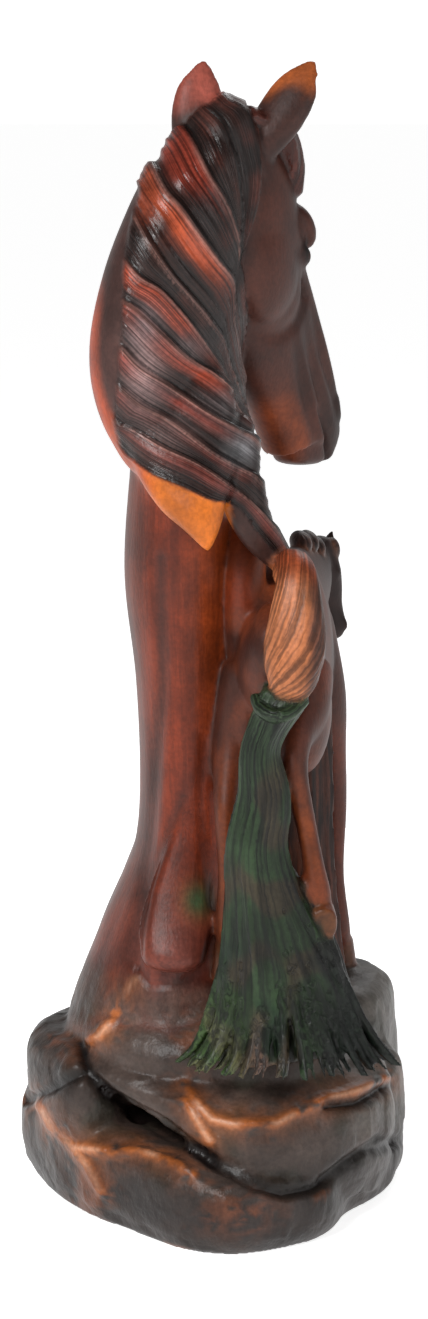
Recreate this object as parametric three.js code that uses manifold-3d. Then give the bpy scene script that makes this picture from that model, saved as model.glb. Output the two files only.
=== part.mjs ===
// A cast resin figurine of a mare and her foal: the mare's arched neck and head rise from a rock,
// her mane falls to one side, and the foal walks beside the neck with its tail resting on a tuft of
// tall grass. It is one casting, so everything is fused into a single closed solid.
// Millimetres, +Z up. The origin is on the flat underside, under the middle of the rock. +Y is the
// way the foal walks, and +X is the side that the foal stands on.

import * as THREE from "three";
import { mergeVertices } from "three/addons/utils/BufferGeometryUtils.js";
import Module from "manifold-3d";

const wasm = await Module();
wasm.setup();

// Driving dimensions
const figureHeight = 300; // underside of the rock to the tips of the mare's ears
const rockWidth = 106; // along X
const rockLength = 120; // along Y
const rockHeight = 50; // ground that the grass and the foal stand on
const mareHeadLength = 101; // poll to lips
const mareEarLength = 25;
const mareEarWidth = 13.6;
const foalHeight = 122; // ground to croup
const foalHeadLength = 26;
const foalEarLength = 9;
const maneLocks = 10;
const maneLockWidth = 8;
const grassBlades = 17;
const grassBladeWidth = 3;

// Shares: free forms keep their proportions as shares of one size each
const figure = (figureHeight - rockHeight) / 250;
const head = mareHeadLength / 102;
const foalScale = foalHeight / 122;

const radians = THREE.MathUtils.degToRad;
const lerp = THREE.MathUtils.lerp;
const smooth = (x) => THREE.MathUtils.smoothstep(x, 0, 1);

// A place and three directions to model a creature in: right side, forward and up
class Pose {
  constructor(origin, yaw, scale) {
    this.origin = new THREE.Vector3(...origin);
    this.right = new THREE.Vector3(Math.cos(radians(yaw)), -Math.sin(radians(yaw)), 0);
    this.forward = new THREE.Vector3(Math.sin(radians(yaw)), Math.cos(radians(yaw)), 0);
    this.up = new THREE.Vector3(0, 0, 1);
    this.scale = scale;
  }

  // Tips the forward direction down by an angle, as a head hangs
  tip(angle) {
    this.forward.applyAxisAngle(this.right, -radians(angle));
    this.up.applyAxisAngle(this.right, -radians(angle));
    return this;
  }

  point(x, y, z) {
    return this.origin
      .clone()
      .addScaledVector(this.right, x * this.scale)
      .addScaledVector(this.forward, y * this.scale)
      .addScaledVector(this.up, z * this.scale);
  }
}

// Heights in the figure are written for a figure 300 tall on ground at 50
const world = new Pose([0, 0, rockHeight - 50 * figure], 0, figure);

// One oval section point: half sizes differ over and under the centre line
function ovalPoint(angle, size, roundness) {
  const c = Math.cos(angle);
  const s = Math.sin(angle);
  const bend = (v) => Math.sign(v) * Math.abs(v) ** (2 / roundness);
  return [size.x * bend(c), (s > 0 ? size.y : size.z) * bend(s)];
}

// A closed limb of oval sections along a smooth line with rounded ends.
// Each station is [x, y, z, half width, half depth over, half depth under] in the pose.
function limb(pose, stations, options = {}) {
  const { around = 12, steps = 1, roundness = 2, ripple = () => 1, side } = options;
  const { caps = [0.7, 0.7], capTurns = [45] } = options;
  const line = new THREE.CatmullRomCurve3(
    stations.map(([x, y, z]) => pose.point(x, y, z)), false, "catmullrom");
  const sizes = new THREE.CatmullRomCurve3(
    stations.map(([, , , w, over, under]) =>
      new THREE.Vector3(w, over ?? w, under ?? over ?? w).multiplyScalar(pose.scale)), false, "catmullrom");
  const rings = [];
  const last = (stations.length - 1) * steps;
  for (const turn of capTurns) rings.push({ t: 0, turn: -turn });
  for (let i = 0; i <= last; i++) rings.push({ t: i / last, turn: 0 });
  for (const turn of [...capTurns].reverse()) rings.push({ t: 1, turn });

  const positions = [];
  const pole = (t, direction, reach) =>
    line.getPoint(t).addScaledVector(line.getTangent(t), direction * reach);
  const capReach = (t) => {
    const size = sizes.getPoint(t);
    return Math.min(size.x, size.y, size.z) * caps[t];
  };
  for (const { t, turn } of rings) {
    const centre = line.getPoint(t);
    const along = line.getTangent(t);
    const across = (side ?? pose.right).clone();
    across.addScaledVector(along, -across.dot(along)).normalize();
    const over = new THREE.Vector3().crossVectors(across, along);
    const size = sizes.getPoint(t).multiplyScalar(Math.cos(radians(turn)));
    if (turn) centre.addScaledVector(along, Math.sin(radians(turn)) * capReach(t));
    for (let k = 0; k < around; k++) {
      const angle = (2 * Math.PI * k) / around;
      const [x, y] = ovalPoint(angle, size, roundness);
      const r = ripple(angle, t);
      positions.push(...centre.clone().addScaledVector(across, x * r).addScaledVector(over, y * r));
    }
  }
  const first = positions.length / 3;
  positions.push(...pole(0, -1, capReach(0)), ...pole(1, 1, capReach(1)));

  const index = [];
  for (let i = 0; i + 1 < rings.length; i++) {
    for (let k = 0; k < around; k++) {
      const a = i * around + k;
      const b = i * around + ((k + 1) % around);
      index.push(a, a + around, b, b, a + around, b + around);
    }
  }
  const lastRing = (rings.length - 1) * around;
  for (let k = 0; k < around; k++) {
    const next = (k + 1) % around;
    index.push(first, k, next);
    index.push(first + 1, lastRing + next, lastRing + k);
  }
  return new THREE.BufferGeometry()
    .setAttribute("position", new THREE.Float32BufferAttribute(positions, 3))
    .setIndex(index);
}

// A rounded lump: a sphere squared off by its roundness, stretched, turned and set in place
function lump({ pose = world, at, half, turn = [0, 0, 0], roundness = 2, rough = 0, detail = [18, 12] }) {
  const ball = new THREE.SphereGeometry(1, ...detail);
  ball.deleteAttribute("normal");
  ball.deleteAttribute("uv");
  const merged = mergeVertices(ball);
  const position = merged.getAttribute("position");
  const v = new THREE.Vector3();
  for (let i = 0; i < position.count; i++) {
    v.fromBufferAttribute(position, i);
    const reach = (Math.abs(v.x) ** roundness + Math.abs(v.y) ** roundness + Math.abs(v.z) ** roundness)
      ** (-1 / roundness);
    const wave = Math.sin(4.1 * v.x + 2.3 * v.z + at[0]) * Math.cos(3.7 * v.y - 1.9 * v.z + at[1]);
    v.multiplyScalar(reach * (1 + rough * wave));
    position.setXYZ(i, ...v.multiply(new THREE.Vector3(...half)).multiplyScalar(pose.scale));
  }
  const basis = new THREE.Matrix4().makeBasis(pose.right, pose.forward, pose.up);
  basis.multiply(new THREE.Matrix4().makeRotationFromEuler(new THREE.Euler(...turn.map(radians))));
  basis.setPosition(pose.point(...at));
  return merged.applyMatrix4(basis);
}

// A closed three.js geometry as a solid
function solid(geometry) {
  const g = geometry.clone();
  g.deleteAttribute("normal");
  g.deleteAttribute("uv");
  const merged = mergeVertices(g, 1e-4);
  return new wasm.Manifold(new wasm.Mesh({
    numProp: 3,
    vertProperties: merged.getAttribute("position").array,
    triVerts: new Uint32Array(merged.index.array),
  }));
}

const joined = (geometries) => geometries.map(solid).reduce((a, b) => a.add(b));

// The rock
// Each boulder is an outline of its own, swept up through levels that swell and close over.
// Its bottom and its top each tip by a slope along X and along Y.
function boulder({ outline, levels, foot = [0, 0], slope = [0, 0], around = 18 }) {
  const curve = new THREE.CatmullRomCurve3(
    outline.map(([x, y]) => new THREE.Vector3(x, y, 0)), true, "centripetal");
  const rim = curve.getSpacedPoints(around).slice(0, around);
  const middle = rim.reduce((sum, p) => sum.add(p), new THREE.Vector3()).divideScalar(around);
  const positions = [];
  const lift = (x, y, z) => {
    const share = (z - levels[0][0]) / (levels.at(-1)[0] - levels[0][0]);
    const tip = [0, 1].map((i) => lerp(foot[i], slope[i], share));
    return z + tip[0] * x + tip[1] * y;
  };
  for (const [z, share] of levels) {
    for (const p of rim) {
      const [x, y] = [lerp(middle.x, p.x, share), lerp(middle.y, p.y, share)];
      positions.push(x, y, lift(x, y, z));
    }
  }
  const first = positions.length / 3;
  for (const [z] of [levels[0], levels.at(-1)]) {
    positions.push(middle.x, middle.y, lift(middle.x, middle.y, z));
  }
  const index = [];
  const top = (levels.length - 1) * around;
  for (let k = 0; k < around; k++) {
    const next = (k + 1) % around;
    for (let i = 0; i + 1 < levels.length; i++) {
      const [a, b] = [i * around + k, i * around + next];
      index.push(a, b, a + around, b, b + around, a + around);
    }
    index.push(first, next, k);
    index.push(first + 1, top + k, top + next);
  }
  return new THREE.BufferGeometry()
    .setAttribute("position", new THREE.Float32BufferAttribute(positions, 3))
    .setIndex(index);
}

function rock() {
  const baseSlab = boulder({
    outline: [[8, -61], [29, -49], [38, -30], [49, -12], [54, 14], [50, 39], [34, 57], [4, 61],
      [-27, 57], [-46, 42], [-54, 18], [-51, -3], [-39, -27], [-25, -42], [-9, -57]],
    levels: [[0, 0.94], [5, 1], [14, 1.01], [20, 0.96], [23, 0.84]],
    slope: [-0.12, 0], around: 22,
  });
  const frontSlab = boulder({
    outline: [[-34, -28], [-16, -44], [4, -52], [18, -52], [33, -43], [45, -28], [50, -6], [40, 20],
      [-10, 35], [-38, 8]],
    levels: [[24, 0.93], [30, 1], [38, 1], [44, 0.93], [48, 0.72]],
    foot: [-0.42, 0.05], slope: [-0.06, 0.17], around: 18,
  });
  const leftBoulder = boulder({
    outline: [[-14, -10], [-18, 30], [-38, 40], [-50, 24], [-53, 2], [-47, -18], [-34, -34]],
    levels: [[21, 0.9], [28, 1], [35, 1], [42, 0.9], [46, 0.66]],
    slope: [0.06, -0.04], around: 14,
  });
  const rearRight = boulder({
    outline: [[36, 6], [47, 12], [53, 30], [50, 46], [36, 56], [18, 52], [14, 28]],
    levels: [[14, 0.9], [24, 1.02], [38, 1], [48, 0.9], [52, 0.66]],
    slope: [-0.03, 0], around: 14,
  });
  const rearLeft = boulder({
    outline: [[20, 40], [8, 57], [-12, 59], [-30, 51], [-38, 30], [-10, 20]],
    levels: [[18, 0.95], [30, 1.02], [42, 0.97], [50, 0.84], [54, 0.55]],
    slope: [0, -0.05], around: 12,
  });
  const rightLump = boulder({
    outline: [[38, -14], [50, -5], [54, 10], [50, 22], [38, 24], [34, 6]],
    levels: [[4, 0.8], [10, 1], [22, 1.02], [31, 0.9], [35, 0.6]],
    around: 10,
  });
  const mound = boulder({
    outline: [[-20, -36], [2, -41], [22, -38], [33, -24], [34, 14], [22, 38], [-10, 42], [-36, 28],
      [-41, 2], [-34, -22]],
    levels: [[32, 1], [46, 1], [54, 0.84], [60, 0.66], [64, 0.4]],
    slope: [-0.1, 0], around: 14,
  });
  const boulders = [baseSlab, frontSlab, leftBoulder, rearRight, rearLeft, rightLump, mound];

  // Together they are fitted to the rock's width and length, centred on the origin
  const box = new THREE.Box3();
  for (const g of boulders) {
    g.computeBoundingBox();
    box.union(g.boundingBox);
  }
  const [size, middle] = [box.getSize(new THREE.Vector3()), box.getCenter(new THREE.Vector3())];
  for (const g of boulders) {
    g.translate(-middle.x, -middle.y, 0);
    g.scale(rockWidth / size.x, rockLength / size.y, rockHeight / 50);
  }
  return joined(boulders);
}

// The mare's neck
// The lower neck is a column with creases that spreads over the rock.
function column() {
  const creaseCount = 7;
  const creaseDepth = 0.07;
  const creaseTurn = -1.9;
  const creases = (angle, t) =>
    1 - creaseDepth * Math.max(0, Math.cos(creaseCount * angle + creaseTurn - 0.6 * t)) ** 3;
  const stem = limb(world, [
    [-9.5, -13, 222, 11, 20, 19],
    [-8, -9.5, 200, 13.6, 24, 21.5],
    [-8, -6, 170, 15.6, 26.5, 24],
    [-7, -4, 142, 13.8, 26, 24],
    [-6, -3, 116, 13.8, 25, 25],
    [-6, -2, 97, 15, 26, 27],
    [-7.2, 0, 82, 18.6, 28, 29],
    [-9, 2, 67, 23.2, 32, 32],
    [-9.2, 3, 54, 29, 36, 35],
    [-8.5, 3, 44, 31, 38, 36],
  ], { around: 22, ripple: creases });
  const drape = limb(world, [
    [-3, -24, 120, 2, 2],
    [-5.5, -25.2, 108, 4.4, 2.6],
    [-8, -27.6, 93, 7.6, 3.4],
    [-10, -31, 80, 9.8, 4.2],
    [-10.5, -35, 72, 8.8, 4.4],
  ], { around: 8, caps: [1, 0.8] });
  return [stem, drape];
}

// The upper neck arches from the poll and overhangs the column.
const neckSide = new Pose([0, 0, 0], 30, 1).right;
const neckStations = [
  [3, -4, 286, 7, 7, 8],
  [1, -6, 279, 10.4, 12, 12],
  [-2, -9, 269, 12, 18, 17.6],
  [-6, -13, 257, 14, 22, 22.4],
  [-10.2, -15, 241, 15.6, 25, 25.5],
  [-12.4, -15.5, 225, 16.2, 26, 26],
  [-8.8, -15, 212, 14.6, 24, 25.5],
  [-4.4, -15, 204, 12, 20, 23],
  [-5, -17, 193, 12.6, 20, 24],
];

function neckLine() {
  const line = new THREE.CatmullRomCurve3(
    neckStations.map(([x, y, z]) => world.point(x, y, z)), false, "catmullrom");
  const sizes = new THREE.CatmullRomCurve3(
    neckStations.map(([, , , w, over, under]) => new THREE.Vector3(w, over, under)), false, "catmullrom");
  return { line, sizes };
}

const { line: neckCentre, sizes: neckSizes } = neckLine();

// A point on the upper neck: share down from the poll, angle round from the crest towards her right
function neckPoint(share, angle, lift) {
  const along = neckCentre.getTangent(share);
  const across = neckSide.clone().addScaledVector(along, -neckSide.dot(along)).normalize();
  const over = new THREE.Vector3().crossVectors(across, along);
  const size = neckSizes.getPoint(share).multiplyScalar(figure);
  const depth = Math.cos(radians(angle)) > 0 ? size.z : size.y;
  return neckCentre.getPoint(share)
    .addScaledVector(across, (size.x + lift) * Math.sin(radians(angle)))
    .addScaledVector(over, -(depth + lift) * Math.cos(radians(angle)));
}

// Its lower end is a pointed flap that lies over the front of the column.
function neck() {
  const arch = limb(world, neckStations.slice(0, -1), { around: 14, side: neckSide });
  const flap = limb(world, [
    [-10, -22, 224, 11, 8, 8],
    [-8.4, -30, 210, 14, 8.4, 8.4],
    [-7, -34.5, 201, 12.8, 7, 7],
    [-5.4, -38, 194, 10, 5, 6],
    [-3, -41, 187, 5.8, 3.4, 5],
    [-1.4, -43, 180, 1.2, 1.2, 2.2],
  ], { around: 10, roundness: 2.6, capTurns: [] });
  return [arch, flap];
}

// Locks of the mane leave the crest in turn and sweep down and round to her right side. The lower
// ones gather over the flap and run down on to the foal's croup.
const maneGather = [8, -33, 196];

function mane() {
  const locks = [];
  const width = maneLockWidth * figure;
  const gather = world.point(...maneGather);
  const stationCount = 7;
  for (let i = 0; i < maneLocks; i++) {
    const u = i / (maneLocks - 1);
    const leaves = lerp(0.02, 0.84, u);
    const start = lerp(34, -4, smooth(3 * u));
    const end = lerp(132, 104, u);
    const drawn = smooth(2.6 * u - 1.6);
    const stations = [];
    for (let k = 0; k < stationCount; k++) {
      const s = k / (stationCount - 1);
      const angle = lerp(start, end, s);
      const share = leaves + 0.27 * (Math.max(angle, 0) / 120) ** 1.5;
      const p = neckPoint(Math.min(share, 1), angle, 0.6 * Math.sin(Math.PI * s));
      p.lerp(gather, drawn * s ** 1.4);
      const thick = width * (0.2 + 0.3 * Math.sin(Math.PI * (0.14 + 0.76 * s)));
      const local = p.sub(world.origin).divideScalar(figure);
      stations.push([...local, thick * 1.2, thick * 0.55]);
    }
    locks.push(limb(world, stations, { around: 5, capTurns: [], side: new THREE.Vector3(0.3, -0.5, 0.8) }));
  }
  return locks;
}

function maneEnd() {
  const [x, y, z] = maneGather;
  return [[0, 0], [-4, -1]].map(([dx, dz]) => limb(world, [
    [x - 2 + dx, y + 6, z + 12 + dz, 4.2, 5],
    [x - 0.5 + dx, y + 1, z + 3 + dz, 4.4, 5],
    [x + 1.4 + 0.8 * dx, y, z - 6 + dz, 4, 4.6],
    [x + 4.4 + 0.6 * dx, y + 2, z - 13 + dz, 3.6, 4.4],
    [x + 9 + 0.4 * dx, y + 6, z - 20 + dz, 2.6, 3],
  ], { around: 6, capTurns: [] }));
}

// The mare's head
// In this pose +Y runs down the face, +Z comes out of the forehead and +X is her right side.
const mareHead = new Pose([...world.point(3, -6, 281.5)], 30, head * figure).tip(60.5);

// The same on both sides of a head
const bothSides = (build) => [-1, 1].map(build);

function mareFace() {
  const skull = limb(mareHead, [
    [0, -4, -3, 8, 9, 9],
    [0, 8, -2, 10.5, 14, 17],
    [0, 20, -2, 12.5, 16, 22],
    [0, 31, -3, 12.6, 15.2, 23],
    [0, 44, -3, 11.4, 14.4, 22],
    [0, 57, -1, 10.4, 12.8, 22],
    [0, 70, 0.5, 9.8, 11.2, 21],
    [0, 83, 0.5, 9.6, 10, 19.4],
    [0, 92, 0.2, 9.2, 7.4, 18.4],
    [0, 98, -3, 7.4, 4, 13.5],
  ], { around: 12, roundness: 2.3 });
  const cheeks = bothSides((s) => lump({
    pose: mareHead, at: [6 * s, 33, -10], half: [7.6, 16, 14], roundness: 2.2, detail: [10, 6],
  }));
  const brows = bothSides((s) => lump({
    pose: mareHead, at: [9 * s, 32.4, 8.8], half: [4, 7, 4], turn: [0, -25 * s, -8 * s], detail: [7, 4],
  }));
  const eyes = bothSides((s) => lump({
    pose: mareHead, at: [9.8 * s, 38, 4.2], half: [2.6, 4, 3], detail: [7, 4],
  }));
  const nostrilRims = bothSides((s) => lump({
    pose: mareHead, at: [6.8 * s, 86, 3.4], half: [3.4, 6, 4.2], turn: [0, 0, -14 * s], detail: [7, 4],
  }));
  const lips = lump({
    pose: mareHead, at: [0.3, 99, -5.5], half: [14, 15, 0.9], turn: [8, 0, 0], detail: [9, 4],
  });
  return joined([skull, ...cheeks, ...brows, ...eyes, ...nostrilRims])
    .subtract(solid(lips));
}

// An ear is a leaf from root to tip with a hollow scooped out of the side that it opens to.
function ear({ root, tip, opening, width, deep = 0.6 }) {
  const from = new THREE.Vector3(...root);
  const to = new THREE.Vector3(...tip);
  const open = new THREE.Vector3(...opening);
  const along = to.clone().sub(from).normalize();
  open.addScaledVector(along, -open.dot(along)).normalize();
  const side = new THREE.Vector3().crossVectors(along, open);
  const plain = new Pose([0, 0, 0], 0, 1);
  const at = (s, out, size) => {
    const p = from.clone().lerp(to, s).addScaledVector(open, out * width);
    return [...p, ...size.map((share) => share * width)];
  };
  const leaf = limb(plain, [
    at(0, 0, [0.32, 0.3]),
    at(0.32, 0, [0.47, 0.34]),
    at(0.7, 0, [0.44, 0.25]),
    at(1, 0, [0.1, 0.06]),
  ], { around: 7, side, capTurns: [] });
  const scoop = limb(plain, [
    at(0.26, 0.36, [0.14, 0.2]),
    at(0.5, 0.32, [0.3, 0.3 * deep]),
    at(0.88, 0.2, [0.1, 0.14]),
  ], { around: 5, side, capTurns: [] });
  return solid(leaf).subtract(solid(scoop));
}

function mareEars() {
  const reach = mareEarLength / 25;
  const left = { root: [-6, -8, 277], tip: [-2.6, -7, 300], opening: [-0.3, 0.95, 0.1] };
  const right = { root: [11, -5, 277], tip: [25.6, -1, 300], opening: [0.35, 0.9, -0.2] };
  return [left, right].map(({ root, tip, opening }) => {
    const from = world.point(...root);
    const to = from.clone().lerp(world.point(...tip), reach);
    return ear({ root: from, tip: to, opening, width: mareEarWidth });
  }).reduce((a, b) => a.add(b));
}

function forelock() {
  return [[0, -3], [4, 0], [8.6, 0]].map(([x, y]) => limb(mareHead, [
    [0.6 * x, -3, 4, 4, 3],
    [0.85 * x + 1, 6 + 0.5 * y, 11.6, 4.2, 3.4],
    [x + 0.4, 15 + y, 12, 3.8, 3.4],
    [x + 0.4, 22 + y, 9.6, 3, 3],
  ], { around: 6, capTurns: [] }));
}

// The foal
// In this pose +X is its right side, +Y is forward and +Z is up from the ground that it walks on.
const foal = new Pose([...world.point(19.5, 0, 57)], 8, foalScale * figure);

function foalBody() {
  const barrel = limb(foal, [
    [0, -37, 104, 4, 7, 8],
    [0, -34, 99, 7.4, 18, 14],
    [-0.6, -25, 91, 10.2, 31, 16],
    [-0.6, -8, 87, 11.2, 30, 17],
    [-0.6, 8, 85, 11.8, 31.5, 17],
    [-0.6, 20, 88, 10.8, 30, 19],
    [0, 29, 93, 8.6, 20, 17],
    [0, 34, 95, 4, 9, 9],
  ], { around: 12 });
  const haunches = bothSides((s) => lump({
    pose: foal, at: [6.6 * s, -22.4 - 0.4 * s, 78.6 + 0.3 * s], half: [7.5, 13, 17], detail: [8, 6],
  }));
  // The croup leans on the mare's neck, and a clump of tall grass stands under the belly
  const hip = limb(foal, [
    [-8.2, -17, 124, 5, 7],
    [-8.8, -20.4, 112, 5.4, 9],
    [-8.6, -18, 96, 5.6, 10],
    [-8, -14, 78, 4.6, 8],
  ], { around: 8, capTurns: [] });
  const clump = limb(foal, [
    [3.4, -8, 78, 8, 5],
    [4.4, -9, 60, 8, 4],
    [4.8, -10, 40, 8, 4],
    [5.4, -11, 20, 9, 5],
    [6, -12, -4, 11, 8],
  ], { around: 10, capTurns: [], ripple: (angle) => 1 + 0.1 * Math.cos(5 * angle) });
  return [barrel, hip, clump, ...haunches];
}

// The neck reaches forward and the head turns to the right and hangs.
const foalPoll = [3, 45, 111];

function foalNeck() {
  const neckLimb = limb(foal, [
    [0, 14, 98, 8, 18, 16],
    [0.5, 26, 101, 7.6, 14, 13],
    [2, 36, 104, 6, 9, 9.5],
    [foalPoll[0] - 1, foalPoll[1] - 2, foalPoll[2] - 3, 4.8, 6, 6.4],
  ], { around: 8 });
  const curls = [0, 1, 2].map((i) => lump({
    pose: foal, at: [0.8 + 1.1 * i, 23 + 7 * i, 115.5 - 0.8 * i * i], half: [3, 4.8, 3],
    turn: [20, 0, 24], detail: [6, 4],
  }));
  return [neckLimb, ...curls];
}

const foalHead = new Pose([...foal.point(...foalPoll)], 62, (foalHeadLength / 31) * figure).tip(76);

function foalFace() {
  const skull = limb(foalHead, [
    [0, -1, 0, 4.4, 4.8, 5],
    [0, 7, 0, 5.6, 6.2, 8.4],
    [0, 14, 0, 5, 5.6, 7.4],
    [0, 21, 0, 3.8, 4.2, 4.6],
    [0, 27, 0, 4, 4, 4.6],
    [0, 30, -0.4, 3, 3, 3.4],
  ], { around: 8, roundness: 2.2 });
  const eyes = bothSides((s) => lump({
    pose: foalHead, at: [4.6 * s, 9, 2.6], half: [1.5, 2, 1.7], detail: [6, 4],
  }));
  const nostrils = bothSides((s) => lump({
    pose: foalHead, at: [2.7 * s, 27.5, 2], half: [1.7, 2.2, 1.7], detail: [6, 4],
  }));
  const tuft = lump({ pose: foalHead, at: [0, 2, 5.6], half: [2.6, 4, 2.4], detail: [6, 4] });
  return [skull, ...eyes, ...nostrils, tuft];
}

function foalEars() {
  const ears = [
    { out: [3, 0, -2], lean: [0.9, -2.6, -2.2], opening: [0.6, -0.5, 0.4] },
    { out: [-2.6, 6.5, 4.4], lean: [-0.6, -2.2, 1.2], opening: [-0.4, -0.2, 0.9] },
  ];
  return ears.map(({ out, lean, opening }) => {
    const from = foalHead.point(...out);
    const direction = foalHead.point(...lean).sub(foalHead.origin).normalize();
    const to = from.clone().addScaledVector(direction, foalEarLength * figure);
    const open = foalHead.point(...opening).sub(foalHead.origin);
    return ear({ root: from, tip: to, opening: open, width: 0.6 * foalEarLength * figure });
  }).reduce((a, b) => a.add(b));
}

// A leg runs from the hip or shoulder down to the coronet, with a hoof under it.
function leg(stations, hoof) {
  return [
    limb(foal, stations, { around: 7, capTurns: [] }),
    limb(foal, hoof, { around: 8, caps: [0.3, 0.1], capTurns: [], roundness: 2.2 }),
  ];
}

function foalLegs() {
  const leftHind = leg([
    [-8, -22, 88, 6.5, 11, 11],
    [-10.5, -26, 71, 5.6, 8.5, 8.5],
    [-11.4, -32, 60, 4, 5, 5.5],
    [-11.4, -35.5, 53, 3.2, 3.8, 4.4],
    [-11.4, -34.5, 38, 2.5, 2.8, 3],
    [-11.6, -33.5, 24, 3, 3.2, 3.7],
    [-11.8, -32, 18, 2.7, 3, 3],
  ], [[-11.8, -32, 19, 3.1, 3.6, 3.2], [-12, -31, 8, 4, 4.8, 4.2]]);
  const rightHind = leg([
    [8, -22, 88, 6.5, 11, 11],
    [8, -28, 80, 6, 9, 9],
    [6.4, -36, 74, 4.4, 5.4, 5.4],
    [6.6, -40, 66, 3.4, 3.8, 4.2],
    [9.4, -40.5, 53, 2.7, 2.9, 3.1],
    [11.6, -41, 42, 2.8, 3, 3.2],
    [12.6, -41, 35, 3.5, 3.6, 3.8],
    [13.6, -40, 30, 2.8, 3, 3],
  ], [[13.8, -38.5, 29.5, 3, 3.8, 3.8], [15, -45, 27.5, 3.4, 4.8, 4.8]]);
  const rightFore = leg([
    [4.6, 21, 94, 5.4, 9, 9],
    [8.4, 22, 75, 5, 7, 7],
    [9.4, 26, 58, 3.9, 4.6, 4.6],
    [9.4, 31, 41, 3.7, 3.9, 3.8],
    [9.8, 32, 22, 2.6, 2.9, 2.9],
    [10.8, 33, 7, 3.2, 3.5, 3.6],
    [11.4, 35, 1, 2.9, 3, 3],
  ], [[11.4, 35.4, 2, 3.3, 3.6, 3.4], [12, 37, -11, 4.3, 5.2, 4.6]]);
  const leftFore = leg([
    [-7, 21, 92, 6, 9, 9],
    [-9, 23, 76, 5, 7.4, 7.4],
    [-11, 30, 63, 4.1, 4.8, 4.8],
    [-12, 37, 50, 3.8, 4, 3.8],
    [-13, 35, 33, 2.7, 2.9, 2.9],
    [-13, 34, 19, 3.2, 3.5, 3.6],
    [-13, 36, 12, 2.9, 3, 3],
  ], [[-13, 36.4, 13, 3.3, 3.6, 3.4], [-13, 38, 0, 4.3, 5.2, 4.6]]);
  return [...leftHind, ...rightHind, ...rightFore, ...leftFore];
}

// The tail arches out of the croup and hangs as three thick locks that twist round each other.
const tailTip = [4.2, -50, 85];

function foalTail() {
  const lockCount = 3;
  const lockDepth = 0.15;
  const twist = 3.4;
  return [limb(foal, [
    [3, -30, 115, 3.6, 3.6],
    [5.4, -37, 119, 4, 3.6],
    [7.4, -43.5, 115.5, 5, 4.6],
    [7.8, -46.5, 107, 6.6, 5.2],
    [7.6, -48, 99, 7.6, 5.4],
    [6.6, -49, 92, 6.6, 4.8],
    [5.2, -49.5, 87.5, 4.4, 3.6],
    [...tailTip, 2.4, 2.2],
  ], { around: 12, capTurns: [], ripple: (angle, t) => 1 + lockDepth * Math.cos(lockCount * angle + twist * t) })];
}

// The grass
// A tall tuft holds the tip of the tail in its open top and spreads into blades over the rock.
function grass() {
  const tip = foal.point(...tailTip).sub(world.origin).divideScalar(figure);
  const foot = [19, -43, 51];
  const down = [
    // [share of the way down, shift along X, half width]
    [0, 0.4, 5.4],
    [0.09, -4, 4.6],
    [0.16, -5.6, 4.8],
    [0.28, -4.8, 6.2],
    [0.42, -6.8, 7.2],
    [0.56, -5.4, 9],
    [0.7, -3.4, 12],
    [0.84, -1.6, 15.5],
    [1, 0, 19],
  ];
  const tuft = limb(world, down.map(([s, shift, half]) => [
    lerp(tip.x, foot[0], s) + shift, lerp(tip.y + 2, foot[1], s), lerp(tip.z + 1.5, foot[2], s),
    half, half * 0.45 + 3, half * 0.35 + 3,
  ]), {
    around: 14, caps: [0.2, 0.2], capTurns: [],
    ripple: (angle, t) => 1 + 0.1 * Math.cos(7 * angle + 5 * t),
  });
  const blades = [];
  for (let i = 0; i < grassBlades; i++) {
    const u = i / (grassBlades - 1);
    const turn = radians(lerp(-100, 108, u) + 7 * Math.sin(5.3 * i));
    const [x, y] = [Math.sin(turn), -Math.cos(turn)];
    const reach = 1 + 0.14 * Math.sin(2.9 * i);
    const top = 84 + 12 * Math.sin(1.7 * i);
    blades.push(limb(world, [
      [foot[0] - 5 + 4 * x, foot[1] - 1 + 4 * y, top, 0.6, 0.6],
      [foot[0] - 2 + 14 * x, foot[1] + 7.4 * y, lerp(top, 54, 0.5), grassBladeWidth * 0.5, 1.4],
      [foot[0] + 21 * x * reach, foot[1] + 12 * y * reach, 54, grassBladeWidth * 0.45, 1.3],
      [foot[0] + 26 * x * reach, foot[1] + 15 * y * reach, 46.5, 0.4, 0.4],
    ], { around: 3, capTurns: [], side: new THREE.Vector3(Math.cos(turn), Math.sin(turn), 0) }));
  }
  return [tuft, ...blades];
}

// The casting
// Everything is fused, and any pocket that the fusing seals inside is filled, as resin fills it.
function casting() {
  const fused = [
    rock(),
    joined([...column(), ...neck(), ...mane(), ...maneEnd()]),
    mareFace(),
    mareEars(),
    joined(forelock()),
    joined([...foalBody(), ...foalNeck(), ...foalFace(), ...foalLegs(), ...foalTail()]),
    foalEars(),
    joined(grass()),
  ].reduce((a, b) => a.add(b));
  return fused.decompose().reduce((a, b) => (a.volume() > b.volume() ? a : b));
}

function geometryOf(manifold) {
  const { numProp, numVert, vertProperties, triVerts } = manifold.getMesh();
  const positions = new Float32Array(numVert * 3);
  for (let i = 0; i < numVert; i++) {
    positions.set(vertProperties.subarray(i * numProp, i * numProp + 3), i * 3);
  }
  const geometry = new THREE.BufferGeometry()
    .setAttribute("position", new THREE.BufferAttribute(positions, 3))
    .setIndex(new THREE.BufferAttribute(triVerts, 1));
  geometry.computeVertexNormals();
  return geometry;
}

const stainedResin = new THREE.MeshStandardMaterial({ color: 0x6b2f1c, roughness: 0.38, metalness: 0 });

const figurine = new THREE.Mesh(geometryOf(casting()), stainedResin);
figurine.name = "mare_and_foal_casting";

const part = new THREE.Group();
part.add(figurine);

export default part;
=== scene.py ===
# Looks of a cast resin figurine of a mare and her foal: the casting is remodelled at fine scale in
# the space of its solid, blended into one skin, carved with hair, grass and rock relief, and
# stained and painted. Lengths are in millimetres until the skin is finished, then in metres.

import math

import bmesh
import bpy
import numpy as np
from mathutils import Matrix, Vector, kdtree, noise


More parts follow.
